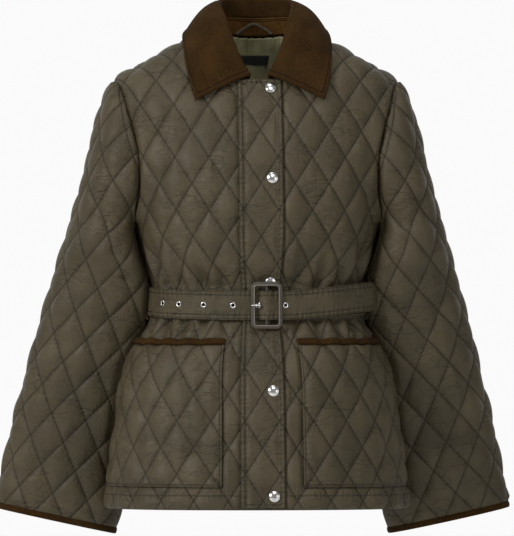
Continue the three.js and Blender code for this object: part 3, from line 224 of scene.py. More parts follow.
def read(rows, key, column, at):
    """A table's column at places between its rows, on a smooth curve."""
    order = np.argsort(rows[key])
    x, y = rows[key][order], rows[column][order]
    slope = np.gradient(y, x)
    slope[1:-1] = (y[2:] - y[:-2]) / (x[2:] - x[:-2])
    at = np.clip(at, x[0], x[-1])
    i = np.clip(np.searchsorted(x, at) - 1, 0, len(x) - 2)
    span = x[i + 1] - x[i]
    f = (at - x[i]) / span
    near = (2 * f**3 - 3 * f**2 + 1) * y[i] + (f**3 - 2 * f**2 + f) * slope[i] * span
    far = (3 * f**2 - 2 * f**3) * y[i + 1] + (f**3 - f**2) * slope[i + 1] * span
    return near + far


def along(run, value, at):
    """A value along a line of points, going straight on past its ends."""
    k = np.clip(np.searchsorted(run, at), 1, len(run) - 1)
    f = (at - run[k - 1]) / (run[k] - run[k - 1])
    return value[k - 1] + f * (value[k] - value[k - 1])


def pairs(first, second):
    """Two columns side by side. Either may be one number."""
    return np.stack(np.broadcast_arrays(first, second), 1)


def torso(column, z):
    return read(TORSO, "z", column, z)


def from_belt(t):
    return np.abs(t - T_WAIST) - BELT_WIDTH / 2


def running(*columns):
    steps = np.sqrt(sum(np.diff(c) ** 2 for c in columns))
    return np.concatenate([[0], np.cumsum(steps)])


def depth_at(x, z, side):
    half = torso("half", z)
    deep = torso(SIDE_COLUMN[side], z)
    rest = 1 - np.minimum(1, np.abs(x) / half) ** ROUNDNESS
    return torso("seam_y", z) + side * deep * rest ** (1 / ROUNDNESS)


def section(z, side):
    """A level section of the body, from the centre line to the side seam."""
    a = np.linspace(0, math.pi / 2, 121)
    x = torso("half", z) * np.sin(a) ** (2 / ROUNDNESS)
    deep = torso(SIDE_COLUMN[side], z)
    y = torso("seam_y", z) + side * deep * np.maximum(0, np.cos(a)) ** (2 / ROUNDNESS)
    return running(x, y), x, y


RIDGE = np.linspace(TIP_Z, 46, 600)
RIDGE_HALF = torso("half", RIDGE)


def climb(x, side):
    """The line on which the cloth climbs over the yoke at one x, up to the shoulder's ridge."""
    top = np.interp(x, RIDGE_HALF[::-1], RIDGE[::-1])
    z = -T_YOKE + (top + T_YOKE) * np.sin(np.linspace(0, math.pi / 2, 91))
    y = depth_at(x, z, side)
    y[-1] = torso("seam_y", top)
    return running(z, y), z, y


def girth(z, side):
    return section(z, side)[0][-1]


WIDTHS = {side: (girth(-T_ARMPIT, side), girth(-T_HEM, side)) for side in BOTH}


def cloth_width(t, side):
    """The cloth's own width from the centre line to the side seam, which the belt gathers."""
    top, low = WIDTHS[side]
    return top + (low - top) * np.maximum(t - T_ARMPIT, 0) / (T_HEM - T_ARMPIT)


class Form:
    """One side of the smooth body: its places and outward directions on a fine net of s and t."""

    STEP, S_END, T_TOP, T_END = 1.5, 279, -66, 624

    def __init__(self, side):
        self.side = side
        s = np.arange(0, self.S_END, self.STEP)
        t = np.arange(self.T_TOP, self.T_END, self.STEP)
        self.place = np.zeros((len(t), len(s), 3))
        yoke = t < T_YOKE
        run, x, _ = section(-T_YOKE, side)
        for i, at in enumerate(along(run, x, s)):
            line, z, y = climb(at, side)
            up = T_YOKE - t[yoke]
            self.place[yoke, i] = np.stack([at + 0 * up, along(line, y, up), along(line, z, up)], 1)
        for j in np.flatnonzero(~yoke):
            run, x, y = section(-t[j], side)
            share = run[-1] / cloth_width(t[j], side) if t[j] > T_ARMPIT else 1
            self.place[j, :, 0] = along(run, x, s * share)
            self.place[j, :, 1] = along(run, y, s * share)
            self.place[j, :, 2] = -t[j]
        self.out = unit(np.cross(np.gradient(self.place, axis=1), np.gradient(self.place, axis=0)) * side)
        self.out[:, 0, 0] = 0

    def look(self, values, s, t):
        far = np.clip(np.abs(s) / self.STEP, 0, values.shape[1] - 1.001)
        down = np.clip((t - self.T_TOP) / self.STEP, 0, values.shape[0] - 1.001) + 0 * far
        far = far + 0 * down
        i, j = far.astype(int), down.astype(int)
        f, g = (far - i)[..., None], (down - j)[..., None]
        top = values[j, i] * (1 - f) + values[j, i + 1] * f
        low = values[j + 1, i] * (1 - f) + values[j + 1, i + 1] * f
        found = top * (1 - g) + low * g
        found[..., 0] *= np.where(np.asarray(s) < 0, -1, 1)
        return found

    def at(self, s, t):
        return self.look(self.place, s, t)

    def outward(self, s, t):
        edge = cloth_width(np.maximum(t, T_ARMPIT), self.side) - 2
        return unit(self.look(self.out, np.clip(s, -edge, edge), t))

    def base(self, s, t):
        return self.at(s, t) - self.outward(s, t) * fold_depth(s, t, self.side)[..., None]


def fold_depth(s, t, side):
    folds = FOLDS[side]
    deep = 0 * (s + t)
    away = from_belt(t)
    for k in range(len(folds["s"])):
        reach = np.where(t < T_WAIST, folds["above"][k], folds["below"][k])
        run = np.where(away < 0, UNDER_BELT, np.exp(-((away / reach) ** 2)))
        deep = deep + folds["depth"][k] * run * np.exp(-(((np.abs(s) - folds["s"][k]) / FOLD_WIDTH) ** 2))
    return deep


FORM = {side: Form(side) for side in BOTH}


def s_at_x(x, side):
    run, across, _ = section(-T_YOKE, side)
    return np.interp(x, across, run)


def seam_t(s, side):
    run, across, _ = section(-T_YOKE, side)
    return T_YOKE - climb(along(run, across, s), side)[0][-1]


SHOULDER_S = {side: np.linspace(s_at_x(NECK_X, side), s_at_x(TIP_X, side), 60) for side in BOTH}
SHOULDER_T = {side: np.array([seam_t(s, side) for s in SHOULDER_S[side]]) for side in BOTH}
NECK_POINT = {side: SHOULDER_T[side][0] for side in BOTH}
TIP_T = {side: SHOULDER_T[side][-1] for side in BOTH}


def armhole_s(t, side):
    ends = table(
        "t front back",
        (TIP_T[side], SHOULDER_S[side][-1], SHOULDER_S[side][-1]),
        *zip(ARMHOLE["t"], ARMHOLE["front"], ARMHOLE["back"]),
        (T_ARMPIT, cloth_width(T_ARMPIT, side), cloth_width(T_ARMPIT, side)),
    )
    return read(ends, "t", SIDE_COLUMN[side], t)


def neck_s(t, side):
    top = NECK_POINT[side]
    f = np.clip((t - top) / (T_NECK[side] - top), 0, 1)
    return SHOULDER_S[side][0] * np.sqrt(1 - f * f)


# The arm: its own coordinates, and its rings
def arm_place(w, e, y):
    made = TIP + np.multiply.outer(w, ARM_DOWN) + np.multiply.outer(e, ARM_OUT)
    made[..., 1] = y
    return made


def arm_coordinates(p):
    away = p - TIP
    return away @ ARM_DOWN, away @ ARM_OUT, p[..., 1]


def side_reach(p):
    """How far out the body's side reaches at a place beside it."""
    seam_y = torso("seam_y", p[..., 2])
    front = torso("front", p[..., 2])
    back = torso("back", p[..., 2])
    off = np.abs(p[..., 1] - seam_y) / np.where(p[..., 1] > seam_y, back, front)
    reach = torso("half", p[..., 2]) * np.clip(1 - off**ROUNDNESS, 0, 1) ** (1 / ROUNDNESS)
    return np.where(off >= 1, -1e3, reach)


def clear_of_body(p, cap_t):
    from_seam = np.abs(p[..., 1] - torso("seam_y", p[..., 2]))
    if cap_t is None:
        below = smooth(-p[..., 2], T_ARMPIT + 5, T_ARMPIT + 45)
        at_belt = 1 - smooth(np.abs(p[..., 2] + T_WAIST), 24, 44)
        gap = ARM_GAP + (ARM_GAP_BELOW - ARM_GAP) * below + (ARM_GAP_BELT - ARM_GAP_BELOW) * below * at_belt
        share = (p[..., 2] <= -T_ARMPIT) * 1.0
    else:
        gap, share = np.minimum(ARM_GAP, ARM_GAP_SLOPE * from_seam), smooth(cap_t, ARMHOLE["t"][-1], T_ARMPIT)
    made = p.copy()
    made[..., 0] += share * np.maximum(0, side_reach(p) + gap - p[..., 0])
    return made


def oval_size(x, y):
    """1 on the arm's rounded oval, in shares of its half width and depth."""
    return (np.abs(x) ** ARM_ROUNDNESS + np.abs(y) ** ARM_ROUNDNESS) ** (1 / ARM_ROUNDNESS)


def arm_oval(w):
    inner, outer = read(SLEEVE, "w", "inner", w), read(SLEEVE, "w", "outer", w)
    return (inner + outer) / 2, (outer - inner) / 2, read(SLEEVE, "w", "y", w), read(SLEEVE, "w", "depth", w)


def half_ring(w, cap_t, side):
    """One ring of the sleeve from the top of the arm round to the underarm, or to the armhole's edge."""
    centre, half, y, depth = arm_oval(w)

    def radius(a):
        return oval_size(np.cos(a) / half, np.sin(a) / depth) ** -1

    angle, factor, end_w = math.pi, 1.0, w
    if cap_t is not None:
        end_w, e, end_y = arm_coordinates(FORM[side].at(armhole_s(cap_t, side), cap_t))
        angle = math.atan2(abs(end_y - y), e - centre)
        factor = math.hypot(end_y - y, e - centre) / radius(angle)
    f = np.linspace(0, 1, 91)
    mix = f * f * (3 - 2 * f)
    r = radius(angle * f) * (1 + (factor - 1) * mix)
    place = arm_place(w + (end_w - w) * mix, centre + r * np.cos(angle * f), y + side * r * np.sin(angle * f))
    return clear_of_body(place, cap_t)


def sleeve_line(t, side):
    """The sleeve's ring at a level of its cloth: how far it runs from the top of the arm, and its places."""
    w = ARM_ARMPIT + t - T_ARMPIT
    if t < T_ARMPIT:
        w = np.interp(t, [TIP_T[side], *CAP["t"]], [SEAM_GAP, *CAP["w"]])
        line = half_ring(w, t, side)
    elif t < T_ARMPIT + DIAMOND_H / 4:
        f = (t - T_ARMPIT) / (DIAMOND_H / 4)
        above = half_ring(ARM_ARMPIT, T_ARMPIT - 0.01, side)
        line = above * (1 - f) + half_ring(ARM_ARMPIT + DIAMOND_H / 4, None, side) * f
    else:
        line = half_ring(w, None, side)
    return w, running(*line.T), line


def arm_press(p):
    """0 where the body lies against the arm, and 1 clear of it."""
    beside = p.copy()
    beside[..., 0] = np.abs(beside[..., 0])
    w, e, y = arm_coordinates(beside)
    centre, half, mid, depth = arm_oval(w)
    press = smooth((oval_size((e - centre) / half, (y - mid) / depth) - 1) * 60, 8, 24)
    return np.where((w < ARM_ARMPIT - 30) | (w > ARM_LENGTH + 40), 1, press)


def armhole_out(t, side):
    """The outward direction that the body's and the sleeve's edges share along the armhole."""
    s = armhole_s(t, side)
    body = FORM[side].outward(s - 3, t)
    w, e, y = arm_coordinates(FORM[side].at(s, t))
    centre, _, mid, _ = arm_oval(np.clip(w, 0, ARM_ARMPIT))
    sleeve = unit(np.array([0, float(y - mid), 0]) + ARM_OUT * float(e - centre))
    return unit(body + sleeve + np.array([0, 0, -1.5 * float(smooth(t, 150, T_ARMPIT))]))


# Relief on the cloth
def quilt_phase(s, t):
    p = s / DIAMOND_W + (t - QUILT_START) / DIAMOND_H
    q = s / DIAMOND_W - (t - QUILT_START) / DIAMOND_H
    return p, q


def puff_at(s, t):
    """How full the quilting stands, 0 on a stitch line, and a little uneven from diamond to diamond."""
    p, q = quilt_phase(s, t)
    a, b = p - np.floor(p), q - np.floor(q)
    full = (16 * a * (1 - a) * b * (1 - b)) ** PUFF_ROUND
    draw = np.sin(np.floor(p) * 12.9898 + np.floor(q) * 78.233) * 43758.5453
    uneven = 0.84 + 0.32 * (draw - np.floor(draw))
    lean = 0.16 * (a - b) * np.sin(3 * np.floor(p) + 5 * np.floor(q))
    return full * (uneven + lean)


def on_stitch(s, t):
    p, q = quilt_phase(s, t)
    return np.minimum(np.abs(p - np.round(p)), np.abs(q - np.round(q))) < 1e-3


CREASE_COLUMNS = "s0 t0 s1 t1 width depth"


def crease_depth(creases, s, t):
    """Soft troughs along short lines on the cloth. A negative depth is a ridge."""
    deep = 0 * (s + t)
    for k in range(len(creases["s0"])):
        s0, t0, s1, t1, width, depth = (creases[c][k] for c in CREASE_COLUMNS.split())
        run = (s1 - s0) ** 2 + (t1 - t0) ** 2
        f = np.clip(((s - s0) * (s1 - s0) + (t - t0) * (t1 - t0)) / run, 0, 1)
        bow = 0.1 * math.sqrt(run) * np.sin(np.pi * f) * (1 if k % 2 else -1)
        away = np.hypot(s - s0 - (s1 - s0) * f + bow, t - t0 - (t1 - t0) * f)
        deep = deep + depth * np.exp(-((away / width) ** 2)) * np.sin(np.pi * (0.12 + 0.76 * f))
    return deep


# Creases placed one by one. On the fronts and the back s is signed, on the sleeves it is negative to the
# front
FRONT_CREASES = table(
    CREASE_COLUMNS,
    (172, 176, 122, 214, 9, 3.2),
    (168, 206, 96, 262, 11, 3.6),
    (160, 246, 118, 300, 9, 2.8),
    (84, 232, 74, 306, 8, 2.2),
    (52, 250, 46, 306, 6, 1.8),
    (132, 356, 150, 404, 9, 2.6),
    (98, 352, 104, 378, 7, 2.0),
    (44, 356, 40, 436, 8, 2.2),
    (150, 96, 128, 168, 12, 2.0),
    (118, 20, 150, 76, 13, 1.8),
    (43, 470, 47, 560, 9, 1.6),
    (-176, 160, -118, 208, 10, 3.4),
    (-170, 212, -104, 250, 8, 2.6),
    (-158, 236, -86, 304, 12, 3.4),
    (-122, 262, -112, 306, 7, 2.4),
    (-62, 244, -54, 304, 8, 2.0),
    (-146, 354, -160, 392, 9, 2.6),
    (-112, 352, -120, 376, 7, 1.8),
    (-46, 354, -42, 420, 7, 2.0),
    (-142, 84, -132, 150, 12, 2.2),
    (-104, 6, -146, 70, 12, 1.6),
    (-44, 452, -48, 548, 9, 1.8),
)
BACK_CREASES = table(
    CREASE_COLUMNS,
    (176, 170, 110, 222, 11, 3.2),
    (164, 226, 96, 268, 9, 2.6),
    (140, 250, 112, 306, 8, 2.4),
    (58, 236, 44, 306, 9, 2.6),
    (18, 262, 12, 306, 6, 1.6),
    (120, 352, 138, 420, 10, 2.8),
    (40, 354, 52, 430, 9, 2.4),
    (90, 30, 130, 110, 14, 2.0),
    (150, 470, 158, 570, 12, 2.2),
    (-174, 184, -120, 214, 9, 3.0),
    (-166, 204, -84, 276, 12, 3.0),
    (-110, 244, -98, 306, 7, 2.2),
    (-30, 246, -34, 306, 8, 2.2),
    (-84, 352, -104, 440, 11, 2.8),
    (-26, 356, -22, 410, 8, 2.0),
    (-70, 16, -128, 96, 14, 2.2),
    (-96, 480, -102, 582, 12, 2.0),
)
SLEEVE_CREASES = table(
    CREASE_COLUMNS,
    (-118, 150, -70, 210, 10, 3.0),
    (-140, 214, -84, 268, 11, 3.6),
    (-158, 268, -96, 318, 10, 3.2),
    (-148, 330, -60, 352, 9, 2.8),
    (-120, 372, -30, 392, 10, 2.6),
    (-160, 404, -92, 432, 9, 2.6),
    (-60, 438, 10, 470, 12, 2.2),
    (-132, 476, -70, 560, 12, 2.4),
    (-38, 520, -22, 606, 12, 2.0),
    (20, 90, 10, 190, 14, 1.8),
    (112, 160, 64, 232, 10, 3.0),
    (146, 236, 88, 292, 11, 3.2),
    (150, 312, 74, 344, 9, 2.8),
    (128, 372, 52, 404, 11, 3.0),
    (120, 440, 60, 540, 13, 2.4),
    (44, 500, 52, 600, 12, 1.8),
)
MIRRORED_SLEEVE_CREASES = dict(
    SLEEVE_CREASES,
    s0=0.9 * SLEEVE_CREASES["s0"],
    t0=SLEEVE_CREASES["t0"] + 14,
    t1=SLEEVE_CREASES["t1"] + 14,
)
PLACKET_CREASES = table(
    CREASE_COLUMNS,
    (-24, 262, 16, 300, 8, 2.0),
    (22, 228, -10, 262, 9, 1.6),
    (-18, 356, -8, 420, 7, 1.8),
    (20, 356, 16, 392, 6, 1.4),
    (-12, 118, 20, 140, 8, 1.2),
    (10, 498, -14, 530, 8, 1.4),
)
POCKET_CREASES = table(
    CREASE_COLUMNS,
    (72, 404, 100, 450, 12, 2.2),
    (190, 420, 168, 470, 12, 2.6),
    (196, 500, 170, 566, 11, 2.4),
    (120, 520, 132, 574, 11, 1.8),
    (64, 500, 74, 560, 8, 1.6),
    (-80, 400, -92, 446, 12, 2.4),
    (-188, 412, -166, 450, 12, 2.0),
    (-150, 480, -176, 560, 12, 2.6),
    (-96, 500, -104, 572, 10, 2.0),
    (-62, 470, -70, 520, 8, 1.4),
)


# Cloth is a grid of cells that is laid by formula, with its own coordinates kept as UV maps
class Row:
    """One level of a cloth: places, outward directions, and coordinates on the cloth and from its edge.

    A turn of -1 mirrors it. low marks the places where a stitch line crosses.
    """

    def __init__(self, place, out, cloth, edge, low=None, turn=1):
        flip = np.array([turn, 1, 1])
        self.place, self.out, self.cloth, self.edge = place * flip, out * flip, cloth, edge
        self.low = np.zeros(len(place), bool) if low is None else low


def add_grid(bm, rows, layers):
    """Lays one grid of cells on its rows, with each diagonal on a stitch line where one crosses the cell."""
    across = len(rows[0].place)
    made = bmesh.ops.create_grid(bm, x_segments=across - 1, y_segments=len(rows) - 1, size=1)["verts"]
    place = np.concatenate([r.place for r in rows]) * MM
    out = np.concatenate([r.out for r in rows])
    low = np.concatenate([r.low for r in rows])
    maps = [np.concatenate(values) * MM for values in ([r.cloth for r in rows], [r.edge for r in rows])]
    number = {v: k for k, v in enumerate(made)}
    for v, p in zip(made, place):
        v.co = p
    faces = {f for v in made for f in v.link_faces}
    facing = 0.0
    for f in faces:
        f.smooth = True
        for loop in f.loops:
            k = number[loop.vert]
            for layer, values in zip(layers, maps):
                loop[layer].uv = values[k]
        f.normal_update()
        facing += f.calc_area() * f.normal.dot(Vector(out[number[f.loops[0].vert]]))
    if facing < 0:
        bmesh.ops.reverse_faces(bm, faces=list(faces))
    if low.any():
        bmesh.ops.connect_verts(bm, verts=[v for v, k in number.items() if low[k]])


def cloth_piece(name, *grids):
    """A piece of cloth from one or more grids, sewn where they meet."""
    bm = bmesh.new()
    layers = [bm.loops.layers.uv.new("cloth"), bm.loops.layers.uv.new("edge")]
    for rows in grids:
        add_grid(bm, rows, layers)
    bmesh.ops.remove_doubles(bm, verts=bm.verts[:], dist=WELD * MM)
    return finished(name, bm)


def finished(name, bm):
    mesh = bpy.data.meshes.new(name)
    bm.to_mesh(mesh)
    bm.free()
    piece = bpy.data.objects.new(name, mesh)
    bpy.context.scene.collection.objects.link(piece)
    return piece


def thicken(piece, thickness):
    wall = piece.modifiers.new("wall", "SOLIDIFY")
    wall.thickness, wall.offset, wall.use_rim = thickness * MM, -1, True
    return piece


def sewn(name, thickness, *grids):
    return thicken(cloth_piece(name, *grids), thickness)


def flat_cut(piece):
    """The flat width, length and area of a piece's cloth, from its cloth coordinates."""
    mesh = piece.data
    uv = np.zeros(len(mesh.loops) * 2)
    mesh.uv_layers["cloth"].data.foreach_get("uv", uv)
    uv = uv.reshape(-1, 2)
    area = 0.0
    for f in mesh.polygons:
        x, y = uv[f.loop_start : f.loop_start + f.loop_total].T
        area += abs(np.dot(x, np.roll(y, -1)) - np.dot(y, np.roll(x, -1))) / 2
    width, length = uv.max(0) - uv.min(0)
    return width, length, area


def declare(piece, node, material, held=None):
    """Gives a piece its finish, puts it under the root, and hides the part it stands for."""
    piece.data.materials.clear()
    piece.data.materials.append(material)
    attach(piece, "root")
    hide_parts(node)
    if held:
        *flat, area = flat_cut(piece)
    return piece


# Body panels
def body_press(s, t, side):
    """0 where another piece lies on the quilting, and 1 where it stands free."""
    far = np.abs(s)
    press = smooth(from_belt(t), 1, 14)
    if side == FRONT:
        press = press * smooth(far, PLACKET_HALF - 1, PLACKET_HALF + 5)
        under = smooth(far, POCKET_INNER - 5, POCKET_INNER) * smooth(t, POCKET_TOP - 5, POCKET_TOP)
        press = press * (1 - under * (1 - smooth(t, POCKET_BOTTOM, POCKET_BOTTOM + 6)))
    return press * arm_press(FORM[side].at(s, t))


def quilt_levels(top, low):
    """Levels down the cloth, on which the stitch lines cross the grid's columns."""
    first, last = math.ceil((top - QUILT_START) / CELL_H), int((low - QUILT_START) / CELL_H)
    return [QUILT_START + k * CELL_H for k in range(first, last + 1)]


def body_levels(side):
    low, top = T_NECK[side], NECK_POINT[side]
    levels = [top + (low - top) * f for f in NECK_LEVELS] + [TIP_T[side], T_HEM, T_HEM - 1.5]
    levels += [t for t in quilt_levels(top, T_HEM) if min(abs(t - other) for other in levels) > 0.8]
    return sorted(levels)


def body_rows(side, start, turn, creases):
    """Half of the front or the back, from its inner edge out to the side seam. A turn of -1 mirrors it."""
    form, rows = FORM[side], []
    columns = np.arange(math.floor(start / CELL_W), math.ceil(WIDTHS[side][1] / CELL_W) + 1) * CELL_W
    for t in body_levels(side):
        at_neck, on_shoulder = t < T_NECK[side], t <= TIP_T[side]
        in_armhole = not on_shoulder and t < T_ARMPIT
        first = neck_s(t, side) if at_neck else start
        last = cloth_width(t, side) - SEAM_GAP / 2
        if on_shoulder:
            last = np.interp(t, SHOULDER_T[side], SHOULDER_S[side])
        elif in_armhole:
            last = armhole_s(t, side) - SEAM_GAP / 2
        s = np.clip(columns, min(first, last), last)
        n = form.outward(s, t)
        if on_shoulder or in_armhole:
            seam = smooth(last - s, SEAM_REACH, 0)[:, None]
            n = unit(n * (1 - seam) + (SHOULDER_OUT if on_shoulder else armhole_out(t, side)) * seam)
        inner = np.minimum(last - s, s - first) if at_neck else last - s
        from_edge = np.minimum(inner, T_HEM - t)
        rise = puff_at(s * turn, t) * body_press(s, t, side) * smooth(from_edge, -1, 7)
        height = CLOTH + PUFF * rise - EDGE_THINNING * smooth(from_edge, 3, 0)
        crease = crease_depth(creases, s * turn, t) * smooth(from_edge, 0, 10)
        crease = crease * smooth(from_belt(t), -6, 10)
        place = form.base(s, t) + n * (height - crease)[:, None]
        low = (s > min(first, last) + 0.01) & (s < last - 0.01) & on_stitch(s, t)
        rows.append(Row(place, n, pairs(s * turn, t), pairs(s * turn, T_HEM - t), low, turn))
    return rows


def sleeve_rows(turn, creases):
    """A sleeve, from the front underarm over the top of the arm to the back underarm."""
    start, end = max(TIP_T.values()) + 1, ARM_LENGTH - ARM_ARMPIT + T_ARMPIT
    count = math.ceil(max(sleeve_line(t, side)[1][-1] for t in (T_ARMPIT, end) for side in BOTH) / CELL_W)
    columns = np.arange(-count, count + 1) * CELL_W
    rows = []
    for t in [start, *quilt_levels(start + 1, end - 1), end]:
        lines = {side: sleeve_line(t, side) for side in BOTH}
        w = lines[FRONT][0]
        reach = {side: run[-1] for side, (_, run, _) in lines.items()}
        u = np.clip(columns, -reach[FRONT], reach[BACK])
        halves = [
            np.stack([along(run, line[:, axis], np.abs(u)) for axis in range(3)], 1)
            for _, run, line in lines.values()
        ]
        place = np.where((u < 0)[:, None], *halves)
        _, e, y = arm_coordinates(place)
        centre, _, mid, _ = arm_oval(w)
        n = unit(np.stack([0 * y, (y - mid) * 0.95, 0 * y], 1) + np.multiply.outer(e - centre, ARM_OUT))
        if t < T_ARMPIT:
            for side in BOTH:
                seam = smooth(reach[side] - side * u, SEAM_REACH, 0)[:, None] * (u * side > 0)[:, None]
                n = unit(n * (1 - seam) + armhole_out(t, side) * seam)
        free = 1 if t < T_ARMPIT - 20 else smooth(place[:, 0] - side_reach(place), ARM_GAP, ARM_GAP + 14)
        from_edge = np.minimum(u + reach[FRONT], reach[BACK] - u)
        rise = puff_at(u * turn, t) * free * smooth(np.minimum(from_edge, end - t), -1, 7)
        height = CLOTH + PUFF * rise - EDGE_THINNING * smooth(from_edge, 3, 0)
        crease = crease_depth(creases, u, t) * smooth(from_edge, 0, 12) * smooth(end - t, 0, 30)
        place = place + n * (height - crease)[:, None]
        low = (from_edge > 0.01) & (t < end) & on_stitch(u, t)
        rows.append(Row(place, n, pairs(u * turn, t), pairs(u * turn, FAR_INSIDE), low, turn))
    return rows


# What lies on the body: its own sheet, at a height over the cloth below it
def laid_row(side, s, t, height, edge, turn=1, low=None):
    n = FORM[side].outward(s, t)
    place = FORM[side].base(s, t) + n * np.asarray(height)[:, None]
    return Row(place, n, pairs(s * turn, t), edge, low, turn)


def placket_rows():
    """The strip over the front: a quilted middle inside two welts and one across the top."""
    in_welts = np.linspace(PLACKET_HALF - WELT, PLACKET_HALF, 7)
    columns = {*np.arange(-10, 11) * CELL_W, *in_welts, *-in_welts}
    s = np.array(sorted(c for c in columns if abs(c) <= PLACKET_HALF))
    tops = PLACKET_TOP + WELT * np.arange(7) / 6
    rows = []
    for t in [*tops, *quilt_levels(PLACKET_TOP + WELT + 1, T_HEM - 2), T_HEM - 1.2, T_HEM]:
        from_side = np.minimum(PLACKET_HALF - np.abs(s), t - PLACKET_TOP)
        from_edge = np.minimum(from_side, T_HEM - t)
        in_welt = smooth(WELT + 0.6 - from_side, 0, 0.6)
        welt = 1.3 * np.sqrt(np.clip(4 * from_side * (WELT - from_side) / WELT**2, 0, 1))
        near = min(np.abs(np.array(SNAP_T) - t).min(), max(0, abs(t - T_WAIST) - 2))
        flat = smooth(near + 0.6 * np.abs(s - SNAP_S), 9, 22) if near < 30 else 1
        rise = 0.62 * puff_at(s, t) * smooth(from_side, WELT, WELT + 5) * flat
        height = CLOTH + OVER + 2.2 + in_welt * welt + (1 - in_welt) * PUFF * rise
        height = height - 1.5 * smooth(from_edge, 0.8, 0) - 0.5 * crease_depth(PLACKET_CREASES, s, t)
        edge = pairs(np.where(from_side == t - PLACKET_TOP, s, t), from_edge)
        rows.append(laid_row(FRONT, s, t, height, edge, low=on_stitch(s, t) & (from_side > WELT + 1)))
    return rows


def pocket_rows(turn, creases):
    top, low = POCKET_TOP + POCKET_BAND + SEAM_GAP, POCKET_BOTTOM
    columns = np.arange(math.floor(POCKET_INNER / CELL_W), math.ceil(WIDTHS[FRONT][1] / CELL_W) + 1) * CELL_W
    rows = []
    for t in [top, *quilt_levels(top + 1, low - 1), low - 0.7, low]:
        last = cloth_width(t, FRONT) - POCKET_OUTER_IN
        s = np.sort(np.clip([*columns, POCKET_INNER + 1.2, last - 1.2], POCKET_INNER, last))
        from_edge = np.minimum(np.minimum(s - POCKET_INNER, last - s), low - t)
        puff = puff_at(s, t) * smooth(from_edge, 2, 9) * smooth(t - top, -1, 5)
        hem = 0.9 * np.sqrt(np.clip(4 * from_edge * (POCKET_HEM - from_edge) / POCKET_HEM**2, 0, 1))
        height = CLOTH + OVER + 1.6 + PUFF * puff + hem - 1.6 * smooth(from_edge, 0.9, 0)
        height = height - crease_depth(creases, s * turn, t) * smooth(from_edge, 0, 12)
        edge = pairs(np.where(from_edge == low - t, s, t), from_edge)
        rows.append(laid_row(FRONT, s, t, height, edge, turn, on_stitch(s, t) & (from_edge > 1)))
    return rows


def band_rows(turn):
    """The cord binding along a pocket's mouth, a rounded strip."""
    s = np.linspace(POCKET_INNER - 0.6, cloth_width(POCKET_TOP, FRONT) - POCKET_OUTER_IN, 66)
    ends = np.minimum(s - s[0], s[-1] - s)
    rows = []
    for t in np.linspace(POCKET_TOP, POCKET_TOP + POCKET_BAND, 9):
        down = t - POCKET_TOP
        f = down / POCKET_BAND
        height = CLOTH + OVER + 1.6 + 2.4 * math.sqrt(max(0, 4 * f * (1 - f))) - 1.4 * smooth(ends, 1.6, 0)
        height = height - 0.35 * np.sin(s * 0.61 + 2 * np.sin(s * 0.13)) * (1 - abs(2 * f - 1))
        edge = pairs(s, np.minimum(min(down, POCKET_BAND - down), ends))
        rows.append(laid_row(FRONT, s, t, height, edge, turn))
    return rows


# The cuff binding's profile: how far down from the sleeve's end, and how far out
CUFF_PROFILE = ((-1.5, 1.2), (-0.5, 2.6), (1.5, 3.4), (4, 3.6), (6.4, 3.2), (7.8, 2.2), (8, 1.0), (7.6, 0.2))


def cuff_rows(turn):
    """The binding round a cuff goes on from the sleeve's end, in over the cloth's edge."""
    front, back = (half_ring(ARM_LENGTH, None, side) for side in BOTH)
    ring = np.concatenate([front[::-1], back[1:]])
    spoke = ring - ring.mean(0)
    away = unit(spoke - np.multiply.outer(spoke @ ARM_DOWN, ARM_DOWN))
    run = running(*ring.T)
    steps = running(*np.array(CUFF_PROFILE).T)
    rows = []
    for k, ((down, out), across) in enumerate(zip(CUFF_PROFILE, steps)):
        place = ring + ARM_DOWN * down + away * out
        n = unit(away * (1.2 if k < 6 else 0.3) + ARM_DOWN * (0.2 if k < 4 else 1))
        rows.append(Row(place, n, pairs(run, across), pairs(run, down), turn=turn))
    return rows


# The belt's own path round the waist, q from the centre front by +x
FRONT_GIRTH, BACK_GIRTH = girth(-T_WAIST, FRONT), girth(-T_WAIST, BACK)
ROUND_WAIST = 2 * (FRONT_GIRTH + BACK_GIRTH)
WAIST = {side: section(-T_WAIST, side) for side in BOTH}


def waist_place(q):
    m = q - ROUND_WAIST * np.floor((q + FRONT_GIRTH) / ROUND_WAIST)
    in_front = m <= FRONT_GIRTH
    s = np.where(in_front, m, FRONT_GIRTH + BACK_GIRTH - m)
    front, back = ([along(WAIST[side][0], WAIST[side][c], np.abs(s)) for c in (1, 2)] for side in BOTH)
    x = np.where(in_front, front[0], back[0]) * np.sign(s)
    return x, np.where(in_front, front[1], back[1]), s, in_front


def belt_frame(q):
    q = np.asarray(q, float)
    ax, ay, _, _ = waist_place(q - 2)
    bx, by, _, _ = waist_place(q + 2)
    n = unit(np.stack([by - ay, ax - bx, 0 * q], -1))
    x, y, s, in_front = waist_place(q)
    over = np.where(in_front, 1 - smooth(np.abs(s), 34, 60), 0)
    drop = np.where(in_front, BELT_SAG * (1 - (s / FRONT_GIRTH) ** 2), 0)
    return np.stack([x, y, -(BELT_T + drop)], -1), n, BELT_OFF + BELT_OVER_PLACKET * over


def belt_offset(q):
    """The end that shows rises over the buckle's bar, then lies on the end below it."""
    q = np.asarray(q, float)
    end = q - ROUND_WAIST
    base = belt_frame(q)[2]
    under = base + BELT_RISE * (1 - smooth(q, BUCKLE_X + 1, BUCKLE_X + 15))
    hump = BELT_HUMP * np.exp(-(((end - BUCKLE_X) / HUMP_REACH) ** 2))
    over = base + BELT_LAP * smooth(end, -12, 18) + hump
    over += TIP_FLARE * smooth(end, BELT_TIP - 66, BELT_TIP + 12)
    return np.where(end < -40, under, over)


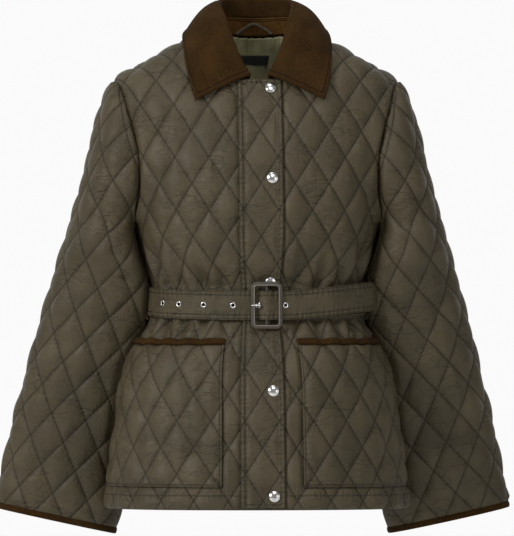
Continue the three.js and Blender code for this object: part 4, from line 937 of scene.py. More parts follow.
def belt_point(q, up, out):
    at, n, _ = belt_frame(q)
    made = at + n * (belt_offset(q) + out)[..., None]
    made[..., 2] += up + TIP_LIFT * smooth(np.asarray(q, float) - ROUND_WAIST, 22, BELT_TIP)
    return made


def belt_axes(q, out):
    """The frame of a piece that is set on the belt, its own +Z along the belt's outward direction."""
    lean = unit(belt_point(q + 1.0, 0, 0) - belt_point(q - 1.0, 0, 0))
    n = unit(np.cross(lean, [0, 0, 1]))
    if n @ belt_frame(q)[1] < 0:
        n = -n
    side = np.cross([0, 0, 1], n)
    return axes_matrix(side, [0, 0, 1], n, belt_point(q, 0, 0) + n * out)


def axes_matrix(x, y, z, at):
    made = Matrix([Vector(x), Vector(y), Vector(z)]).transposed().to_4x4()
    made.translation = Vector(np.asarray(at) * MM)
    return made


def belt_rows():
    """The belt's face with its rounded rims, from the buckle's bar round the waist to the tip."""
    first, last, fine_from = BUCKLE_X + 1, ROUND_WAIST + BELT_TIP, ROUND_WAIST - 170
    stations = np.concatenate([
        np.arange(first, fine_from, 5.0),
        np.arange(fine_from, last - TIP_TAPER, 1.5),
        last - TIP_TAPER + TIP_TAPER * np.sin(np.linspace(0, math.pi / 2, 14)),
    ])
    half = BELT_WIDTH / 2
    rim = np.array([(0, -0.9), (0.25, -0.35), (0.8, -0.12), (1.5, 0)])
    face = np.arange(2.5, BELT_WIDTH - 2, 1.25)
    widths = np.concatenate([rim[:, 0], face, BELT_WIDTH - rim[::-1, 0]])
    lift = np.concatenate([rim[:, 1], 0 * face, rim[::-1, 1]])
    rows = []
    for q in stations:
        taper = np.clip((last - q) / TIP_TAPER, 0, 1)
        share = 0.1 + 0.9 * math.sqrt(1 - (1 - taper) ** 2)
        up = (half - widths) * share
        ripple = 0.25 * np.sin(q * 0.083 + 1.4 * np.sin(q * 0.021)) * np.sin(up * 0.11 + q * 0.017)
        groove = -0.35 * np.exp(-(((half * share - np.abs(up) - BELT_STITCH_IN) / 0.8) ** 2))
        qs = np.full(len(up), q)
        place = belt_point(qs, up, BELT_THICK + lift + ripple + groove)
        from_edge = np.minimum(half * share - np.abs(up), (last - q) * 0.8)
        rows.append(Row(place, belt_frame(qs)[1], pairs(q - first, up + half), pairs(q, from_edge)))
    return rows


# The collar: a stand round the neck, and a fall that turns over it
def collar_out(turn):
    a = np.radians(turn)
    return np.stack([np.sin(a), -np.cos(a), 0 * a], -1)


def neck_seam(turn):
    made = np.zeros((len(turn), 3))
    for side in BOTH:
        here = (turn > SHOULDER_TURN) == (side == BACK)
        share = (180 - turn) / (180 - SHOULDER_TURN) if side == BACK else turn / SHOULDER_TURN
        a = share[here] * math.pi / 2
        t = NECK_POINT[side] + (T_NECK[side] - NECK_POINT[side]) * np.cos(a)
        made[here] = FORM[side].at(SHOULDER_S[side][0] * np.sin(a), t)
    return made - collar_out(turn) * STAND_IN


def collar_line(name, turn):
    return np.stack([read(COLLAR, "turn", f"{name}_{axis}", turn) for axis in "xyz"], 1)


COLLAR_STEP = 2.5
COLLAR_ANGLES = np.arange(-170, 170.01, COLLAR_STEP)
COLLAR_TURNS = 180 - np.abs(COLLAR_ANGLES)
COLLAR_SIDE = np.stack([np.where(COLLAR_ANGLES < 0, -1, 1), 1 + 0 * COLLAR_ANGLES, 1 + 0 * COLLAR_ANGLES], 1)


def collar_parts():
    turn = COLLAR_TURNS
    low, out = neck_seam(turn), collar_out(turn)
    roll, edge = (collar_line(name, turn) for name in ("roll", "edge"))
    inside, outside = roll - out * FOLD_R, roll + out * FOLD_R
    down = unit(edge - outside)
    a = np.radians(turn)
    side = np.stack([-np.cos(a), -np.sin(a), 0 * a], 1)
    away = unit(np.cross(down, side))
    away *= np.sign(np.sum(away * (out + [0, 0, 0.6]), 1))[:, None]
    return low, inside, outside, roll, edge, out, away


def collar_rows(places):
    """Rows along the collar from (place, outward) pairs, with the run down it kept as cloth coordinates."""
    places = [((place + out * COLLAR_THICK) * COLLAR_SIDE, out * COLLAR_SIDE) for place, out in places]
    mid = len(COLLAR_TURNS) // 2
    girths = [running(*p.T) - running(*p.T)[mid] for p, _ in places]
    down = running(*np.array([p[mid] for p, _ in places]).T)
    rows = []
    for (place, out), g, d in zip(places, girths, down):
        from_edge = np.minimum(down[-1] - d, np.minimum(g - g[0], g[-1] - g) * 0.8)
        rows.append(Row(place, unit(out), pairs(girths[-1], d), pairs(g, from_edge)))
    return rows


def fall_rows():
    low, inside, outside, roll, edge, out, away = collar_parts()
    up = np.array([0, 0, 1.0])
    places = [(low + (inside - low) * f, -out) for f in np.linspace(STAND_SHARE + 0.01, 0.97, 10)]
    for a in np.linspace(0, math.pi, 9)[1:-1]:
        n = unit(-out * max(0, math.cos(a)) + up * math.sin(a) + away * max(0, -math.cos(a)))
        places.append((roll - out * FOLD_R * math.cos(a) + up * FOLD_R * (0.9 * math.sin(a) - 0.5), n))
    full = BULGE * (BULGE_AT_END + (1 - BULGE_AT_END) * smooth(COLLAR_TURNS, 10, 44))
    wave = np.sin(np.radians(COLLAR_ANGLES) * 5 + 0.6) + 0.6 * np.sin(np.radians(COLLAR_ANGLES) * 9)
    for f in np.concatenate([np.linspace(0.04, 0.96, 30), [0.985, 1.0]]):
        rise = full * math.sin(math.pi * f**0.75) + 0.7 * f * wave
        rise = rise + 0.9 * float(smooth(f, 0.86, 0.9)) - 1.5 * float(smooth(f, 0.975, 1.0))
        places.append((outside + (edge - outside) * f + away * rise[:, None], away))
    return collar_rows(places)


def stand_rows():
    low, inside, _, _, _, out, _ = collar_parts()
    return collar_rows([(low + (inside - low) * f * STAND_SHARE, -out) for f in np.linspace(0, 1, 12)])


def lining_rows():
    """The satin inside the back of the neck, gathered along its top."""
    s = np.linspace(-LINING_HALF + 4, LINING_HALF - 4, 121)
    arch = np.sqrt(np.clip(1 - (s / SHOULDER_S[BACK][0]) ** 2, 0, 1))
    top = NECK_POINT[BACK] + (T_NECK[BACK] - NECK_POINT[BACK]) * arch + 2
    rows = []
    for f in np.linspace(0, 1, 48):
        fan = 1 + 0.25 * f
        gather = np.sin(s / fan * 0.52 + 1.3 * np.sin(s * 0.11)) + 0.5 * np.sin(s / fan * 0.93 + 2)
        height = -(LINING_IN + LINING_THICK) - 1.1 * gather * math.exp(-f * 1.6) - 1.2
        rows.append(laid_row(BACK, s, top + (LINING_T - top) * f, height, pairs(s, 20)))
    return facing_in(rows)


def label_rows():
    rows = []
    for t in np.linspace(LABEL_T, LABEL_T + LABEL_H, 9):
        f = (t - LABEL_T) / LABEL_H
        s = np.linspace(-1, 1, 31) * (LABEL_W / 2 - 3 * f)
        lift = 5.2 + 3.2 * smooth(s, 8, 22) * f + 0.5 * np.sin(s * 0.3) * f
        from_edge = np.minimum(min(t - LABEL_T, LABEL_T + LABEL_H - t), s[-1] - np.abs(s))
        rows.append(laid_row(BACK, s, t, -lift, pairs(s, from_edge)))
    return facing_in(rows)


def facing_in(rows):
    for row in rows:
        row.out = -row.out
    return rows


def hang_loop_rows():
    a = np.linspace(0, math.pi, 49)
    x = -LOOP_HALF * np.cos(a)
    rise = LOOP_RISE * (1 - np.abs(np.cos(a)) ** 1.35)
    turn = 180 - np.degrees(np.arctan2(np.abs(x), 62))
    low, high = neck_seam(turn), collar_line("roll", turn) - collar_out(turn) * FOLD_R
    at = low + (high - low) * ((LOOP_LOW + rise) / (high - low)[:, 2])[:, None]
    at[:, 0] = x
    at[:, 1] -= COLLAR_THICK + 1.6
    slope = np.sign(np.cos(a)) * np.abs(np.cos(a)) ** 0.35 * 1.35
    lean = unit(np.stack([1 + 0 * a, 0 * a, (LOOP_RISE / LOOP_HALF) * slope], 1))
    wide = np.stack([-lean[:, 2], 0 * a, lean[:, 0]], 1)
    run = running(*at.T)
    rows = []
    for v in np.linspace(-1, 1, 7):
        place = at + wide * v * LOOP_WIDTH / 2
        place[:, 1] -= 0.5 * math.sqrt(1 - v * v)
        rows.append(Row(place, np.tile([0, -1.0, 0], (len(a), 1)), pairs(run, v * 2), pairs(run, 1 - abs(v))))
    return rows


# Rods, rings and turned parts
def tube_rows(path, radius, across, sides=12, twist=0.0, ends=3):
    """A round rod along a line of points in one plane, with rounded ends. A twist gives it two strands."""
    run = running(*path.T)
    ahead = unit(np.gradient(path, axis=0))
    up = unit(np.cross(ahead, across))
    over = unit(np.cross(up, ahead))
    a = np.linspace(0, 2 * math.pi, sides + 1)
    rows = []
    for k, at in enumerate(path):
        end = min(k, len(path) - 1 - k)
        r = radius * math.sqrt(max(0, 1 - (1 - min(1, end / ends)) ** 2))
        swell = 1 + (0.16 * np.cos(2 * a - twist * run[k]) if twist else 0 * a)
        n = np.multiply.outer(np.cos(a), over[k]) + np.multiply.outer(np.sin(a), up[k])
        cloth = pairs(a * radius, run[k])
        rows.append(Row(at + n * (r * swell)[:, None], n, cloth, cloth))
    return rows


def through(points, count):
    """A smooth line through a few points, with even speed along it."""
    points = np.asarray(points, float)
    run = running(*points.T)
    fine = np.linspace(0, run[-1], count)
    spots = {"run": run, **{str(c): points[:, c] for c in range(3)}}
    return np.stack([read(spots, "run", str(c), fine) for c in range(3)], 1)


def belt_loop_rows(side):
    at, n, _ = belt_frame(np.array([LOOP_SIDE]))
    reach = BELT_WIDTH / 2 + 5
    spots = [(reach, -0.7), (reach - 1, 2.4), (BELT_WIDTH / 2 - 2, 4.4), (0, 4.8)]
    spots += [(-up, out) for up, out in spots[-2::-1]]
    points = [at[0] + n[0] * (BELT_OFF + out) + np.array([0, 0, up]) for up, out in spots]
    rows = tube_rows(through(points, 48), 1.0, n[0], twist=2.2)
    for row in rows:
        row.place, row.out = row.place * [side, 1, 1], row.out * [side, 1, 1]
    return rows


def buckle_matrix():
    at, n, _ = belt_frame(np.array(float(BUCKLE_X)))
    return axes_matrix(np.cross([0, 0, 1], n), [0, 0, 1], n, at + n * BUCKLE_OFF)


def rounded_loop(inset, steps=10):
    w, h = BUCKLE_W / 2 - inset, BUCKLE_H / 2 - inset
    r = max(BUCKLE_CORNER - inset, 2.2)
    a = np.concatenate([np.linspace(k, k + 1, steps + 1) for k in range(4)]) * math.pi / 2
    corner = np.repeat(np.arange(4), steps + 1)
    x = np.where((corner == 0) | (corner == 3), w - r, r - w) + r * np.cos(a)
    y = np.where(corner < 2, h - r, r - h) + r * np.sin(a)
    return np.append(x, x[0]), np.append(y, y[0])


# The buckle frame's own profile: how far in from its outer edge, and how high
BUCKLE_PROFILE = (
    (0.6, 0), (0.1, 0.35), (0, 1.0), (0, 2.7), (0.25, 3.5), (0.9, 4.05), (1.7, 4.2), (2.9, 4.15), (3.4, 4.25),
    (3.75, 4.7), (4.3, 4.9), (4.9, 4.75), (5.3, 4.2), (5.5, 3.4), (5.5, 0.6), (5.2, 0.1), (4.6, 0), (0.6, 0),
)
BUCKLE_CORE = (2.9, 2.4)


def buckle_piece():
    matrix = np.array(buckle_matrix())
    rows = []
    for inset, height in BUCKLE_PROFILE:
        x, y = rounded_loop(inset)
        own = np.stack([x, y, height + 0 * x], 1)
        place = own @ matrix[:3, :3].T + matrix[:3, 3] / MM
        core = np.stack([*rounded_loop(BUCKLE_CORE[0]), BUCKLE_CORE[1] + 0 * x], 1)
        rows.append(Row(place, unit(own - core) @ matrix[:3, :3].T, own[:, :2], pairs(x, inset)))
    piece = cloth_piece("buckle_frame", rows)
    bm = bmesh.new()
    bm.from_mesh(piece.data)
    bar = bmesh.ops.create_cube(bm, size=1)["verts"]
    bmesh.ops.scale(bm, verts=bar, vec=Vector((3, BUCKLE_H - 2 * BUCKLE_BAR + 3, 1.6)) * MM)
    bmesh.ops.translate(bm, verts=bar, vec=Vector((0, 0, 0.8 * MM)))
    edges = list({e for v in bar for e in v.link_edges})
    bevelled = bmesh.ops.bevel(
        bm, geom=edges, offset=0.5 * MM, affect="EDGES", segments=3, profile=0.5, material=-1
    )
    turned = {v for f in bevelled["faces"] for v in f.verts} | {v for v in bar if v.is_valid}
    bmesh.ops.transform(bm, matrix=buckle_matrix(), verts=list(turned))
    bm.to_mesh(piece.data)
    bm.free()
    return piece


def prong_rows():
    """The prong, from the bar through the belt's hole and over the frame. Its points are axes, x, height."""
    buckle, hole = buckle_matrix(), belt_axes(ROUND_WAIST + PRONG_X, 0)
    top = BUCKLE_THICK
    spots = (
        (buckle, -2.8, -0.8),
        (hole, 0, -2),
        (hole, 0, 0.8),
        (hole, 0, BELT_THICK + 1.8),
        (buckle, -9, top + 1.5),
        (buckle, -14.5, top + 2),
        (buckle, -18, top + 1.5),
        (buckle, -20.8, top + 1.2),
    )
    points = [np.array(axes @ Vector((x * MM, 0, up * MM))) / MM for axes, x, up in spots]
    return tube_rows(through(points, 60), PRONG_R + 0.15, [0, 0, 1.0], sides=16)


def turned_piece(name, profile, steps, matrix):
    """A part turned from its profile, (radius, height) in its own frame, +Z out of the cloth."""
    bm = bmesh.new()
    verts = [bm.verts.new((r * MM, 0, h * MM)) for r, h in profile]
    edges = [bm.edges.new(pair) for pair in zip(verts, verts[1:])]
    whole = {"angle": 2 * math.pi, "steps": steps, "use_merge": True}
    bmesh.ops.spin(bm, geom=verts + edges, cent=(0, 0, 0), axis=(0, 0, 1), **whole)
    bmesh.ops.remove_doubles(bm, verts=bm.verts[:], dist=1e-6)
    bmesh.ops.recalc_face_normals(bm, faces=bm.faces[:])
    for f in bm.faces:
        f.smooth = True
    bmesh.ops.transform(bm, matrix=matrix, verts=bm.verts[:])
    return finished(name, bm)


EYELET_PROFILE = (
    (2.0, -2.2), (2.5, -2.2), (2.5, 0.1), (4.0, 0.15), (4.1, 0.35), (3.9, 0.75), (3.3, 1.0), (2.6, 0.9),
    (2.1, 0.5), (2.0, 0), (2.0, -2.2),
)
SNAP_PROFILE = (
    (0, 0), (7.3, 0), (7.7, 0.3), (7.8, 0.8), (7.5, 1.4), (6.9, 1.8), (6.3, 1.95), (5.9, 2.15), (4.8, 2.7),
    (3.4, 3.1), (1.8, 3.32), (0, 3.4),
)


def snap_matrix(t):
    form, s = FORM[FRONT], np.array(float(SNAP_S))
    n = form.outward(s, t)
    at = form.base(s, t) + n * (CLOTH + OVER + 2.25)
    side = unit(np.cross([0, 0, 1], n))
    return axes_matrix(side, np.cross(n, side), n, at)


# Materials
class Recipe:
    """One material's nodes, with a short call for each."""

    def __init__(self, name):
        self.material = bpy.data.materials.new(name)
        self.material.use_nodes = True
        self.nodes = self.material.node_tree.nodes
        self.links = self.material.node_tree.links
        self.shader = self.nodes["Principled BSDF"]

    def node(self, kind, inputs=(), **settings):
        made = self.nodes.new(kind)
        for name, value in settings.items():
            setattr(made, name, value)
        for key, value in dict(inputs).items():
            self.put(value, made.inputs[key])
        return made

    def put(self, value, socket):
        if isinstance(value, bpy.types.NodeSocket):
            self.links.new(value, socket)
        else:
            socket.default_value = value

    def math(self, operation, *values):
        return self.node("ShaderNodeMath", enumerate(values), operation=operation).outputs[0]

    def times(self, first, second):
        return self.math("MULTIPLY", first, second)

    def minus(self, first, second):
        return self.math("SUBTRACT", first, second)

    def wave(self, value, length):
        return self.math("SINE", self.times(value, 2 * math.pi / length))

    def away(self, value, level):
        return self.math("ABSOLUTE", self.minus(value, level))

    def uv(self, name):
        split = self.node("ShaderNodeSeparateXYZ", {0: self.node("ShaderNodeUVMap", uv_map=name).outputs[0]})
        return split.outputs[0], split.outputs[1]

    def spread(self, x, y):
        return self.node("ShaderNodeCombineXYZ", {0: x, 1: y}).outputs[0]

    def noise(self, vector, scale, detail=2.0, roughness=0.5):
        inputs = {"Vector": vector, "Scale": scale, "Detail": detail, "Roughness": roughness}
        return self.node("ShaderNodeTexNoise", inputs).outputs[0]

    def spot(self):
        return self.node("ShaderNodeTexCoord").outputs["Object"]

    def ramp(self, value, low, high, start=0.0, end=1.0):
        inputs = {0: value, 1: low, 2: high, 3: start, 4: end}
        return self.node("ShaderNodeMapRange", inputs, interpolation_type="SMOOTHSTEP").outputs[0]

    def mix(self, share, first, second):
        made = self.node("ShaderNodeMix", data_type="RGBA")
        colours = [s for s in made.inputs if s.type == "RGBA"]
        self.put(share, made.inputs[0])
        for value, socket in zip((first, second), colours):
            self.put(value if isinstance(value, bpy.types.NodeSocket) else (*value, 1), socket)
        return next(s for s in made.outputs if s.type == "RGBA")

    def bump(self, height, distance, strength=1.0, below=None):
        inputs = {"Height": height, "Distance": distance, "Strength": strength}
        if below is not None:
            inputs["Normal"] = below
        return self.node("ShaderNodeBump", inputs).outputs[0]

    def finish(self, colour=None, roughness=None, normal=None, **constants):
        for value, name in ((colour, "Base Color"), (roughness, "Roughness"), (normal, "Normal")):
            if value is not None:
                self.put(value, self.shader.inputs[name])
        for name, value in constants.items():
            self.shader.inputs[name.replace("_", " ").title().replace("Ior", "IOR")].default_value = value
        return self.material

    def line(self, distance, width):
        """1 on a line and 0 beyond its width."""
        return self.ramp(distance, 0, width * MM, 1.0, 0.0)

    def stitches(self, run, share=0.62):
        """1 on the thread and 0 between two stitches, along a seam."""
        off = self.away(self.math("FRACT", self.math("DIVIDE", run, STITCH_PITCH * MM)), 0.5)
        return self.ramp(off, share / 2 - 0.08, share / 2 + 0.08, 1.0, 0.0)

    def painted_groove_shade(self, colour, normal, groove, share, shade, depth, strength):
        """A groove pressed into the cloth, its colour darkened by painted shade."""
        colour = self.mix(self.times(groove, share), colour, shade)
        return colour, self.bump(self.minus(1.0, groove), depth * MM, strength, normal)


LINE_SPACING = DIAMOND_W * DIAMOND_H / math.hypot(DIAMOND_W, DIAMOND_H) * MM
ALONG_LINE = math.hypot(DIAMOND_W, DIAMOND_H) / 2 * MM


# Crease lines on the shell: noise scale, squash across the cloth, and bump depth; their colour is darkened by
# painted shade.
CREASE_LINES = ((52, 0.34, 0.9), (95, 0.42, 0.5))
LIGHT_SHELL, DARK_SHELL = (0.076, 0.06, 0.0335), (0.05, 0.0395, 0.021)
CORD_SHADES = (0.026, 0.0115, 0.0018), (0.05, 0.0235, 0.0045), (0.075, 0.038, 0.011)


def shaded(colour, share):
    return tuple(share * part for part in colour)


def shell_material(name, quilted=True, seams=()):
    """Woven nylon with a soft sheen, its quilting lines and its edge stitching, with painted shade in their
    grooves and along its creases.
    """
    r = Recipe(name)
    s, t = r.uv("cloth")
    cell = r.spread(s, t)
    grain = r.noise(r.spread(r.times(s, 3.0), t), 900, 2.0)
    cloud, fine = (r.noise(cell, scale, 3.0, 0.6) for scale in (14, 85))
    colour = r.mix(r.ramp(cloud, 0.32, 0.7), DARK_SHELL, LIGHT_SHELL)
    colour = r.mix(r.times(r.ramp(grain, 0.35, 0.75), 0.18), colour, shaded(LIGHT_SHELL, 1.5))
    normal = r.bump(r.times(r.wave(s, 0.7 * MM), r.wave(t, 0.55 * MM)), 0.05 * MM, 0.35)
    shaded_grooves, threads = [], []
    if quilted:
        shifted = r.math("DIVIDE", r.minus(t, QUILT_START * MM), DIAMOND_H * MM)
        level = r.math("DIVIDE", s, DIAMOND_W * MM)
        wobble = r.times(r.minus(r.noise(cell, 30, 1.0), 0.5), 0.02)
        phases = [r.math("ADD", level, shifted), r.minus(level, shifted)]
        for phase, other in (phases, phases[::-1]):
            distance = r.times(r.math("PINGPONG", r.math("ADD", phase, wobble), 0.5), LINE_SPACING)
            shaded_grooves.append(r.line(distance, 2.1))
            threads.append(r.times(r.line(distance, 0.55), r.stitches(r.times(other, ALONG_LINE))))
            loose = r.math("ADD", other, r.times(r.noise(cell, 45, 2.0), 0.5))
            pucker = r.times(r.wave(loose, 6.5 * MM / ALONG_LINE), r.line(distance, 9))
            normal = r.bump(r.times(pucker, r.ramp(fine, 0.35, 0.7)), 0.5 * MM, 0.7, normal)
    run, from_edge = r.uv("edge")
    for inset in seams:
        distance = r.away(from_edge, inset * MM)
        shaded_grooves.append(r.line(distance, 1.5))
        threads.append(r.times(r.line(distance, 0.6), r.stitches(run)))
        uneven_run = r.math("ADD", run, r.times(r.noise(cell, 55, 2.0), 16 * MM))
        pull = r.times(r.wave(uneven_run, 7.5 * MM), r.line(distance, 11))
        normal = r.bump(r.times(pull, fine), 0.7 * MM, 0.7, normal)
    wrinkle = r.noise(r.spread(s, r.times(t, 0.45)), 60, 4.0, 0.6)
    normal = r.bump(wrinkle, 2.2 * MM, 0.7, normal)
    # Crease lines: a bump, with painted shade darkening the colour along them.
    for scale, squash, depth in CREASE_LINES:
        bend = r.times(r.noise(cell, 18, 2.0), 24 * MM)
        lines = r.noise(r.spread(r.times(s, squash), r.math("ADD", t, bend)), scale, 3.0, 0.55)
        ridge = r.ramp(r.away(lines, 0.5), 0.0, 0.045)
        shaded_crease = r.times(r.minus(1.0, ridge), r.ramp(r.noise(cell, scale * 0.35, 1.0), 0.46, 0.62))
        colour, normal = r.painted_groove_shade(colour, normal, shaded_crease, 0.22, shaded(DARK_SHELL, 0.45), depth, 0.8)
    crumple = r.noise(r.spread(r.times(s, 0.6), t), 150, 4.0, 0.65)
    normal = r.bump(crumple, 0.8 * MM, 0.6, normal)
    # Painted shade darkens the colour in every stitch groove, besides its bump.
    for groove in shaded_grooves:
        colour, normal = r.painted_groove_shade(colour, normal, groove, 0.72, shaded(DARK_SHELL, 0.3), 0.7, 0.8)
    for thread in threads:
        colour = r.mix(r.times(thread, 0.55), colour, shaded(LIGHT_SHELL, 0.8))
    return r.finish(colour, r.ramp(fine, 0.3, 0.75, 0.48, 0.6), normal, specular_ior_level=0.26)


def cord_material(name, seams=(), pitch=1.5, painted_light_gain=1.0):
    """Fine corduroy: rounded wales and a soft nap, with painted shade between the wales and in its seam
    grooves.
    """
    r = Recipe(name)
    s, t = r.uv("cloth")
    _, from_edge = r.uv("edge")
    cell = r.spread(s, t)
    place = r.math("ADD", s, r.times(r.noise(cell, 60, 2.0), 0.5 * MM))
    ridge = r.ramp(r.math("PINGPONG", r.math("DIVIDE", place, pitch * MM), 0.5), 0.04, 0.4)
    nap = r.noise(cell, 220, 4.0, 0.65)
    # A gain above 1 lifts the cord's colours as painted light.
    dark, light, nap_colour = (shaded(colour, painted_light_gain) for colour in CORD_SHADES)
    colour = r.mix(r.ramp(r.noise(cell, 22, 3.0, 0.6), 0.3, 0.72), dark, light)
    colour = r.mix(r.times(r.ramp(nap, 0.42, 0.78), 0.5), colour, nap_colour)
    # Painted shade darkens the valleys between the wales.
    colour = r.mix(r.times(r.minus(1.0, ridge), 0.5), colour, (0.006, 0.0028, 0.0009))
    normal = r.bump(ridge, 0.35 * MM, 0.8, r.bump(nap, 0.25 * MM, 0.5))
    for inset in seams:
        # Painted shade along each seam groove.
        groove = r.line(r.away(from_edge, inset * MM), 1.3)
        colour, normal = r.painted_groove_shade(colour, normal, groove, 0.75, (0.007, 0.004, 0.002), 0.8, 0.9)
    sheen = {"sheen_weight": 0.03, "sheen_roughness": 0.5, "sheen_tint": (0.6, 0.4, 0.2, 1)}
    return r.finish(colour, 0.92, normal, specular_ior_level=0.1, **sheen)


def satin_material():
    r = Recipe("lining_satin")
    s, t = r.uv("cloth")
    thread = r.noise(r.spread(r.times(s, 6.0), t), 600, 2.0)
    cloud = r.noise(r.spread(s, t), 30, 2.0)
    # The satin's own olive colours, lifted as painted light for a lining that lies in shade inside the neck.
    colour = r.mix(r.ramp(cloud, 0.3, 0.7), (0.26, 0.24, 0.12), (0.46, 0.43, 0.23))
    rough, normal = r.ramp(thread, 0.3, 0.7, 0.3, 0.38), r.bump(thread, 0.06 * MM, 0.4)
    return r.finish(colour, rough, normal, specular_ior_level=0.6, sheen_weight=0.1)


def label_material():
    r = Recipe("label_black")
    s, t = r.uv("cloth")
    fuzz = r.noise(r.spread(s, t), 400, 2.0)
    colour = r.mix(r.ramp(fuzz, 0.35, 0.7), (0.006, 0.006, 0.0055), (0.013, 0.0125, 0.011))
    normal = r.bump(r.wave(t, 0.5 * MM), 0.06 * MM, 0.4)
    return r.finish(colour, 0.55, normal, specular_ior_level=0.4, sheen_weight=0.1)


def metal_material():
    """Polished nickel with fine scuffs."""
    r = Recipe("polished_nickel")
    scuff, haze = r.noise(r.spot(), 900, 5.0, 0.7), r.noise(r.spot(), 160, 2.0)
    colour = r.mix(r.ramp(haze, 0.3, 0.7), (0.62, 0.61, 0.59), (0.8, 0.79, 0.77))
    return r.finish(colour, r.ramp(scuff, 0.35, 0.8, 0.13, 0.3), r.bump(scuff, 0.02 * MM, 0.3), metallic=1.0)


def buckle_material():
    """Moulded brown-grey plastic with a soft gloss, and a painted highlight along its raised inner lip."""
    r = Recipe("buckle_plastic")
    _, inset = r.uv("edge")
    lip_highlight = r.ramp(r.away(inset, 4.4 * MM), 0.3 * MM, 0.9 * MM, 1.0, 0.0)
    grain = r.noise(r.spot(), 350, 4.0, 0.6)
    colour = r.mix(r.ramp(grain, 0.35, 0.7), (0.05, 0.04, 0.03), (0.066, 0.054, 0.04))
    # Painted highlight on the raised inner lip.
    colour = r.mix(r.times(lip_highlight, 0.8), colour, (0.2, 0.175, 0.14))
    rough, normal = r.ramp(grain, 0.3, 0.7, 0.34, 0.44), r.bump(grain, 0.08 * MM, 0.5)
    return r.finish(colour, rough, normal, specular_ior_level=0.5)


BODY_SHELL = shell_material("quilted_body", seams=(HEM_STITCH_IN,))
SLEEVE_SHELL = shell_material("quilted_sleeve")
PLACKET_SHELL = shell_material("quilted_placket", seams=(1.4, 6.6))
POCKET_SHELL = shell_material("quilted_pocket", seams=(3.4,))
PLAIN_SHELL = shell_material("plain_belt", quilted=False, seams=(BELT_STITCH_IN, 1.6))
THREAD_SHELL = shell_material("plain_loop", quilted=False)
COLLAR_CORD = cord_material("collar_cord", seams=(5.6,))
# The stand's cord colours are lifted by painted light, as the stand lies in the fall's shade.
STAND_CORD = cord_material("stand_cord", seams=(2.6, 5.2), painted_light_gain=2.2)
BAND_CORD = cord_material("binding_cord")
SATIN, LABEL_CLOTH = satin_material(), label_material()
NICKEL, PLASTIC = metal_material(), buckle_material()


# The pieces
def build_jacket():
    for side, turn in SIDES.items():
        start = PLACKET_SEAM if turn > 0 else SEAM_GAP - PLACKET_SEAM
        front = sewn(f"quilted_front_{side}", CLOTH, body_rows(FRONT, start, turn, FRONT_CREASES))
        declare(front, f"front_{side}", BODY_SHELL, "hung")
    back = sewn("quilted_back", CLOTH, *(body_rows(BACK, 0, turn, BACK_CREASES) for turn in SIDES.values()))
    declare(back, "back", BODY_SHELL, "hung")
    for (side, turn), creases in zip(SIDES.items(), (SLEEVE_CREASES, MIRRORED_SLEEVE_CREASES)):
        binding = sewn(f"cuff_binding_{side}", CUFF_WALL, cuff_rows(turn))
        declare(binding, f"cuff_band_{side}", BAND_CORD)
        sleeve = sewn(f"quilted_sleeve_{side}", CLOTH, sleeve_rows(turn, creases))
        declare(sleeve, f"sleeve_{side}", SLEEVE_SHELL, "hung")
        band = sewn(f"pocket_binding_{side}", BAND_WALL, band_rows(turn))
        declare(band, f"pocket_band_{side}", BAND_CORD)
        pocket = sewn(f"patch_pocket_{side}", POCKET_WALL, pocket_rows(turn, POCKET_CREASES))
        declare(pocket, f"pocket_{side}", POCKET_SHELL, "hung")
        loop = cloth_piece(f"belt_loop_thread_{side}", belt_loop_rows(turn))
        declare(loop, f"belt_loop_{side}", THREAD_SHELL)
    placket = sewn("snap_placket", CLOTH, placket_rows())
    declare(placket, "placket", PLACKET_SHELL, "hung")
    belt = thicken(cut_eyelets(cloth_piece("stitched_belt", belt_rows())), BELT_THICK - 0.2)
    declare(belt, "belt", PLAIN_SHELL, "stretched")
    hanger = sewn("hang_loop_ribbon", RIBBON_WALL, hang_loop_rows())
    declare(hanger, "hang_loop", THREAD_SHELL)
    fall = sewn("collar_fall_cord", COLLAR_THICK, fall_rows())
    stand = sewn("collar_stand_cord", COLLAR_THICK, stand_rows())
    declare(stand, "collar_stand", STAND_CORD, "hung")
    declare(fall, "collar_fall", COLLAR_CORD, "folded")
    lining = sewn("neck_satin", LINING_THICK, lining_rows())
    declare(lining, "neck_lining", SATIN, "gathered")
    label = sewn("bare_label", LABEL_WALL, label_rows())
    declare(label, "label", LABEL_CLOTH, "hung")


def cut_eyelets(belt):
    """Punches the belt's round holes, and draws each hole's rim onto its circle."""
    bm = bmesh.new()
    bm.from_mesh(belt.data)
    for x in EYELET_X:
        seat = belt_axes(ROUND_WAIST + x, BELT_THICK)
        back = seat.inverted()
        near = {v: back @ v.co for v in bm.verts if (v.co - seat.translation).length < 8 * MM}
        near = {v: p for v, p in near.items() if abs(p.z) < 1.4 * MM}
        inside = [f for f in bm.faces if all(v in near for v in f.verts)]
        centres = {f: sum((near[v].xy for v in f.verts), Vector((0, 0))) / 4 for f in inside}
        inside = [f for f in inside if centres[f].length < HOLE_REACH * MM]
        bmesh.ops.delete(bm, geom=inside, context="FACES")
        for v, p in near.items():
            if v.is_valid and p.xy.length < HOLE_R * MM:
                grown = p.xy * (HOLE_R * MM / p.xy.length)
                v.co = seat @ Vector((grown.x, grown.y, p.z))
    bm.to_mesh(belt.data)
    bm.free()
    return belt


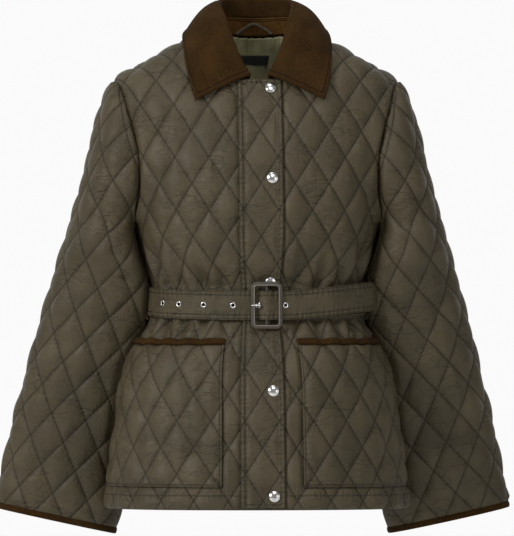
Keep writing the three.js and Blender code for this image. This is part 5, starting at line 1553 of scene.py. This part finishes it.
def build_hardware():
    declare(buckle_piece(), "buckle", PLASTIC)
    declare(cloth_piece("steel_prong", prong_rows()), "buckle_prong", NICKEL)
    for k, x in enumerate(EYELET_X, 1):
        seat = belt_axes(ROUND_WAIST + x, BELT_THICK + (0.5 if x == PRONG_X else 0))
        eyelet = turned_piece(f"belt_eyelet_{k}", EYELET_PROFILE, EYELET_STEPS, seat)
        declare(eyelet, f"eyelet_{k}", NICKEL)
    for k, t in enumerate(SNAP_T, 1):
        cap = turned_piece(f"snap_cap_{k}", SNAP_PROFILE, SNAP_STEPS, snap_matrix(t))
        declare(cap, f"snap_{k}", NICKEL)


# The stage: a plain pale floor, soft studio light, and the camera
FLOOR_Z, FLOOR_RADIUS = -0.95, 9
VIEW_AZIMUTH, VIEW_DISTANCE, VIEW_TARGET = math.radians(-3.5), 12.0, Vector((0.0014, 0, -0.283))
VIEW_LENS, SENSOR = 611, 36
AREA_LIGHTS = (
    ("key", (-2.7, -2.4, 1.2), 1.3, 84),
    ("brow", (0.15, -1.3, 0.9), 0.9, 4.8),
    ("fill", (2.2, -2.8, 0.2), 1.8, 10),
    ("top", (-0.2, -0.5, 2.4), 1.2, 14),
)
PAPER = (0.86, 0.86, 0.85)
FRONT_GLOW, BACK_GLOW = 0.26, 0.96


def build_stage():
    bm = bmesh.new()
    bmesh.ops.create_circle(bm, cap_ends=True, segments=96, radius=FLOOR_RADIUS)
    bmesh.ops.translate(bm, verts=bm.verts[:], vec=(0, 0, FLOOR_Z))
    floor = finished("floor", bm)
    r = Recipe("pale_floor")
    colour = r.mix(r.noise(r.spot(), 3, 2.0), PAPER, (0.88, 0.88, 0.87))
    floor.data.materials.append(r.finish(colour, 0.9, specular_ior_level=0.2))
    world = bpy.data.worlds.new("studio")
    world.use_nodes = True
    nodes, links = world.node_tree.nodes, world.node_tree.links
    way = nodes.new("ShaderNodeSeparateXYZ")
    links.new(nodes.new("ShaderNodeTexCoord").outputs[0], way.inputs[0])
    share = nodes.new("ShaderNodeMapRange")
    share.interpolation_type = "SMOOTHSTEP"
    links.new(way.outputs[1], share.inputs[0])
    for k, value in enumerate((0.1, 0.9, FRONT_GLOW, BACK_GLOW), 1):
        share.inputs[k].default_value = value
    nodes["Background"].inputs[0].default_value = (1, 1, 1, 1)
    links.new(share.outputs[0], nodes["Background"].inputs[1])
    bpy.context.scene.world = world
    for name, place, size, power in AREA_LIGHTS:
        light = bpy.data.lights.new(name, "AREA")
        light.shape, light.size, light.energy = "DISK", size, power
        lamp = bpy.data.objects.new(name, light)
        lamp.location = place
        lamp.rotation_mode = "QUATERNION"
        lamp.rotation_quaternion = (VIEW_TARGET - Vector(place)).to_track_quat("-Z", "Y")
        bpy.context.scene.collection.objects.link(lamp)


def build_camera():
    data = bpy.data.cameras.new("photo_view")
    data.sensor_fit, data.sensor_width, data.lens = "HORIZONTAL", SENSOR, VIEW_LENS
    camera = bpy.data.objects.new("photo_view", data)
    away = Vector((math.sin(VIEW_AZIMUTH), -math.cos(VIEW_AZIMUTH), 0))
    camera.location = VIEW_TARGET + away * VIEW_DISTANCE
    camera.rotation_mode = "QUATERNION"
    camera.rotation_quaternion = away.to_track_quat("Z", "Y")
    bpy.context.scene.collection.objects.link(camera)
    bpy.context.scene.camera = camera
    bpy.context.scene.view_settings.view_transform = "Standard"


build_camera()
build_jacket()
build_hardware()
build_stage()
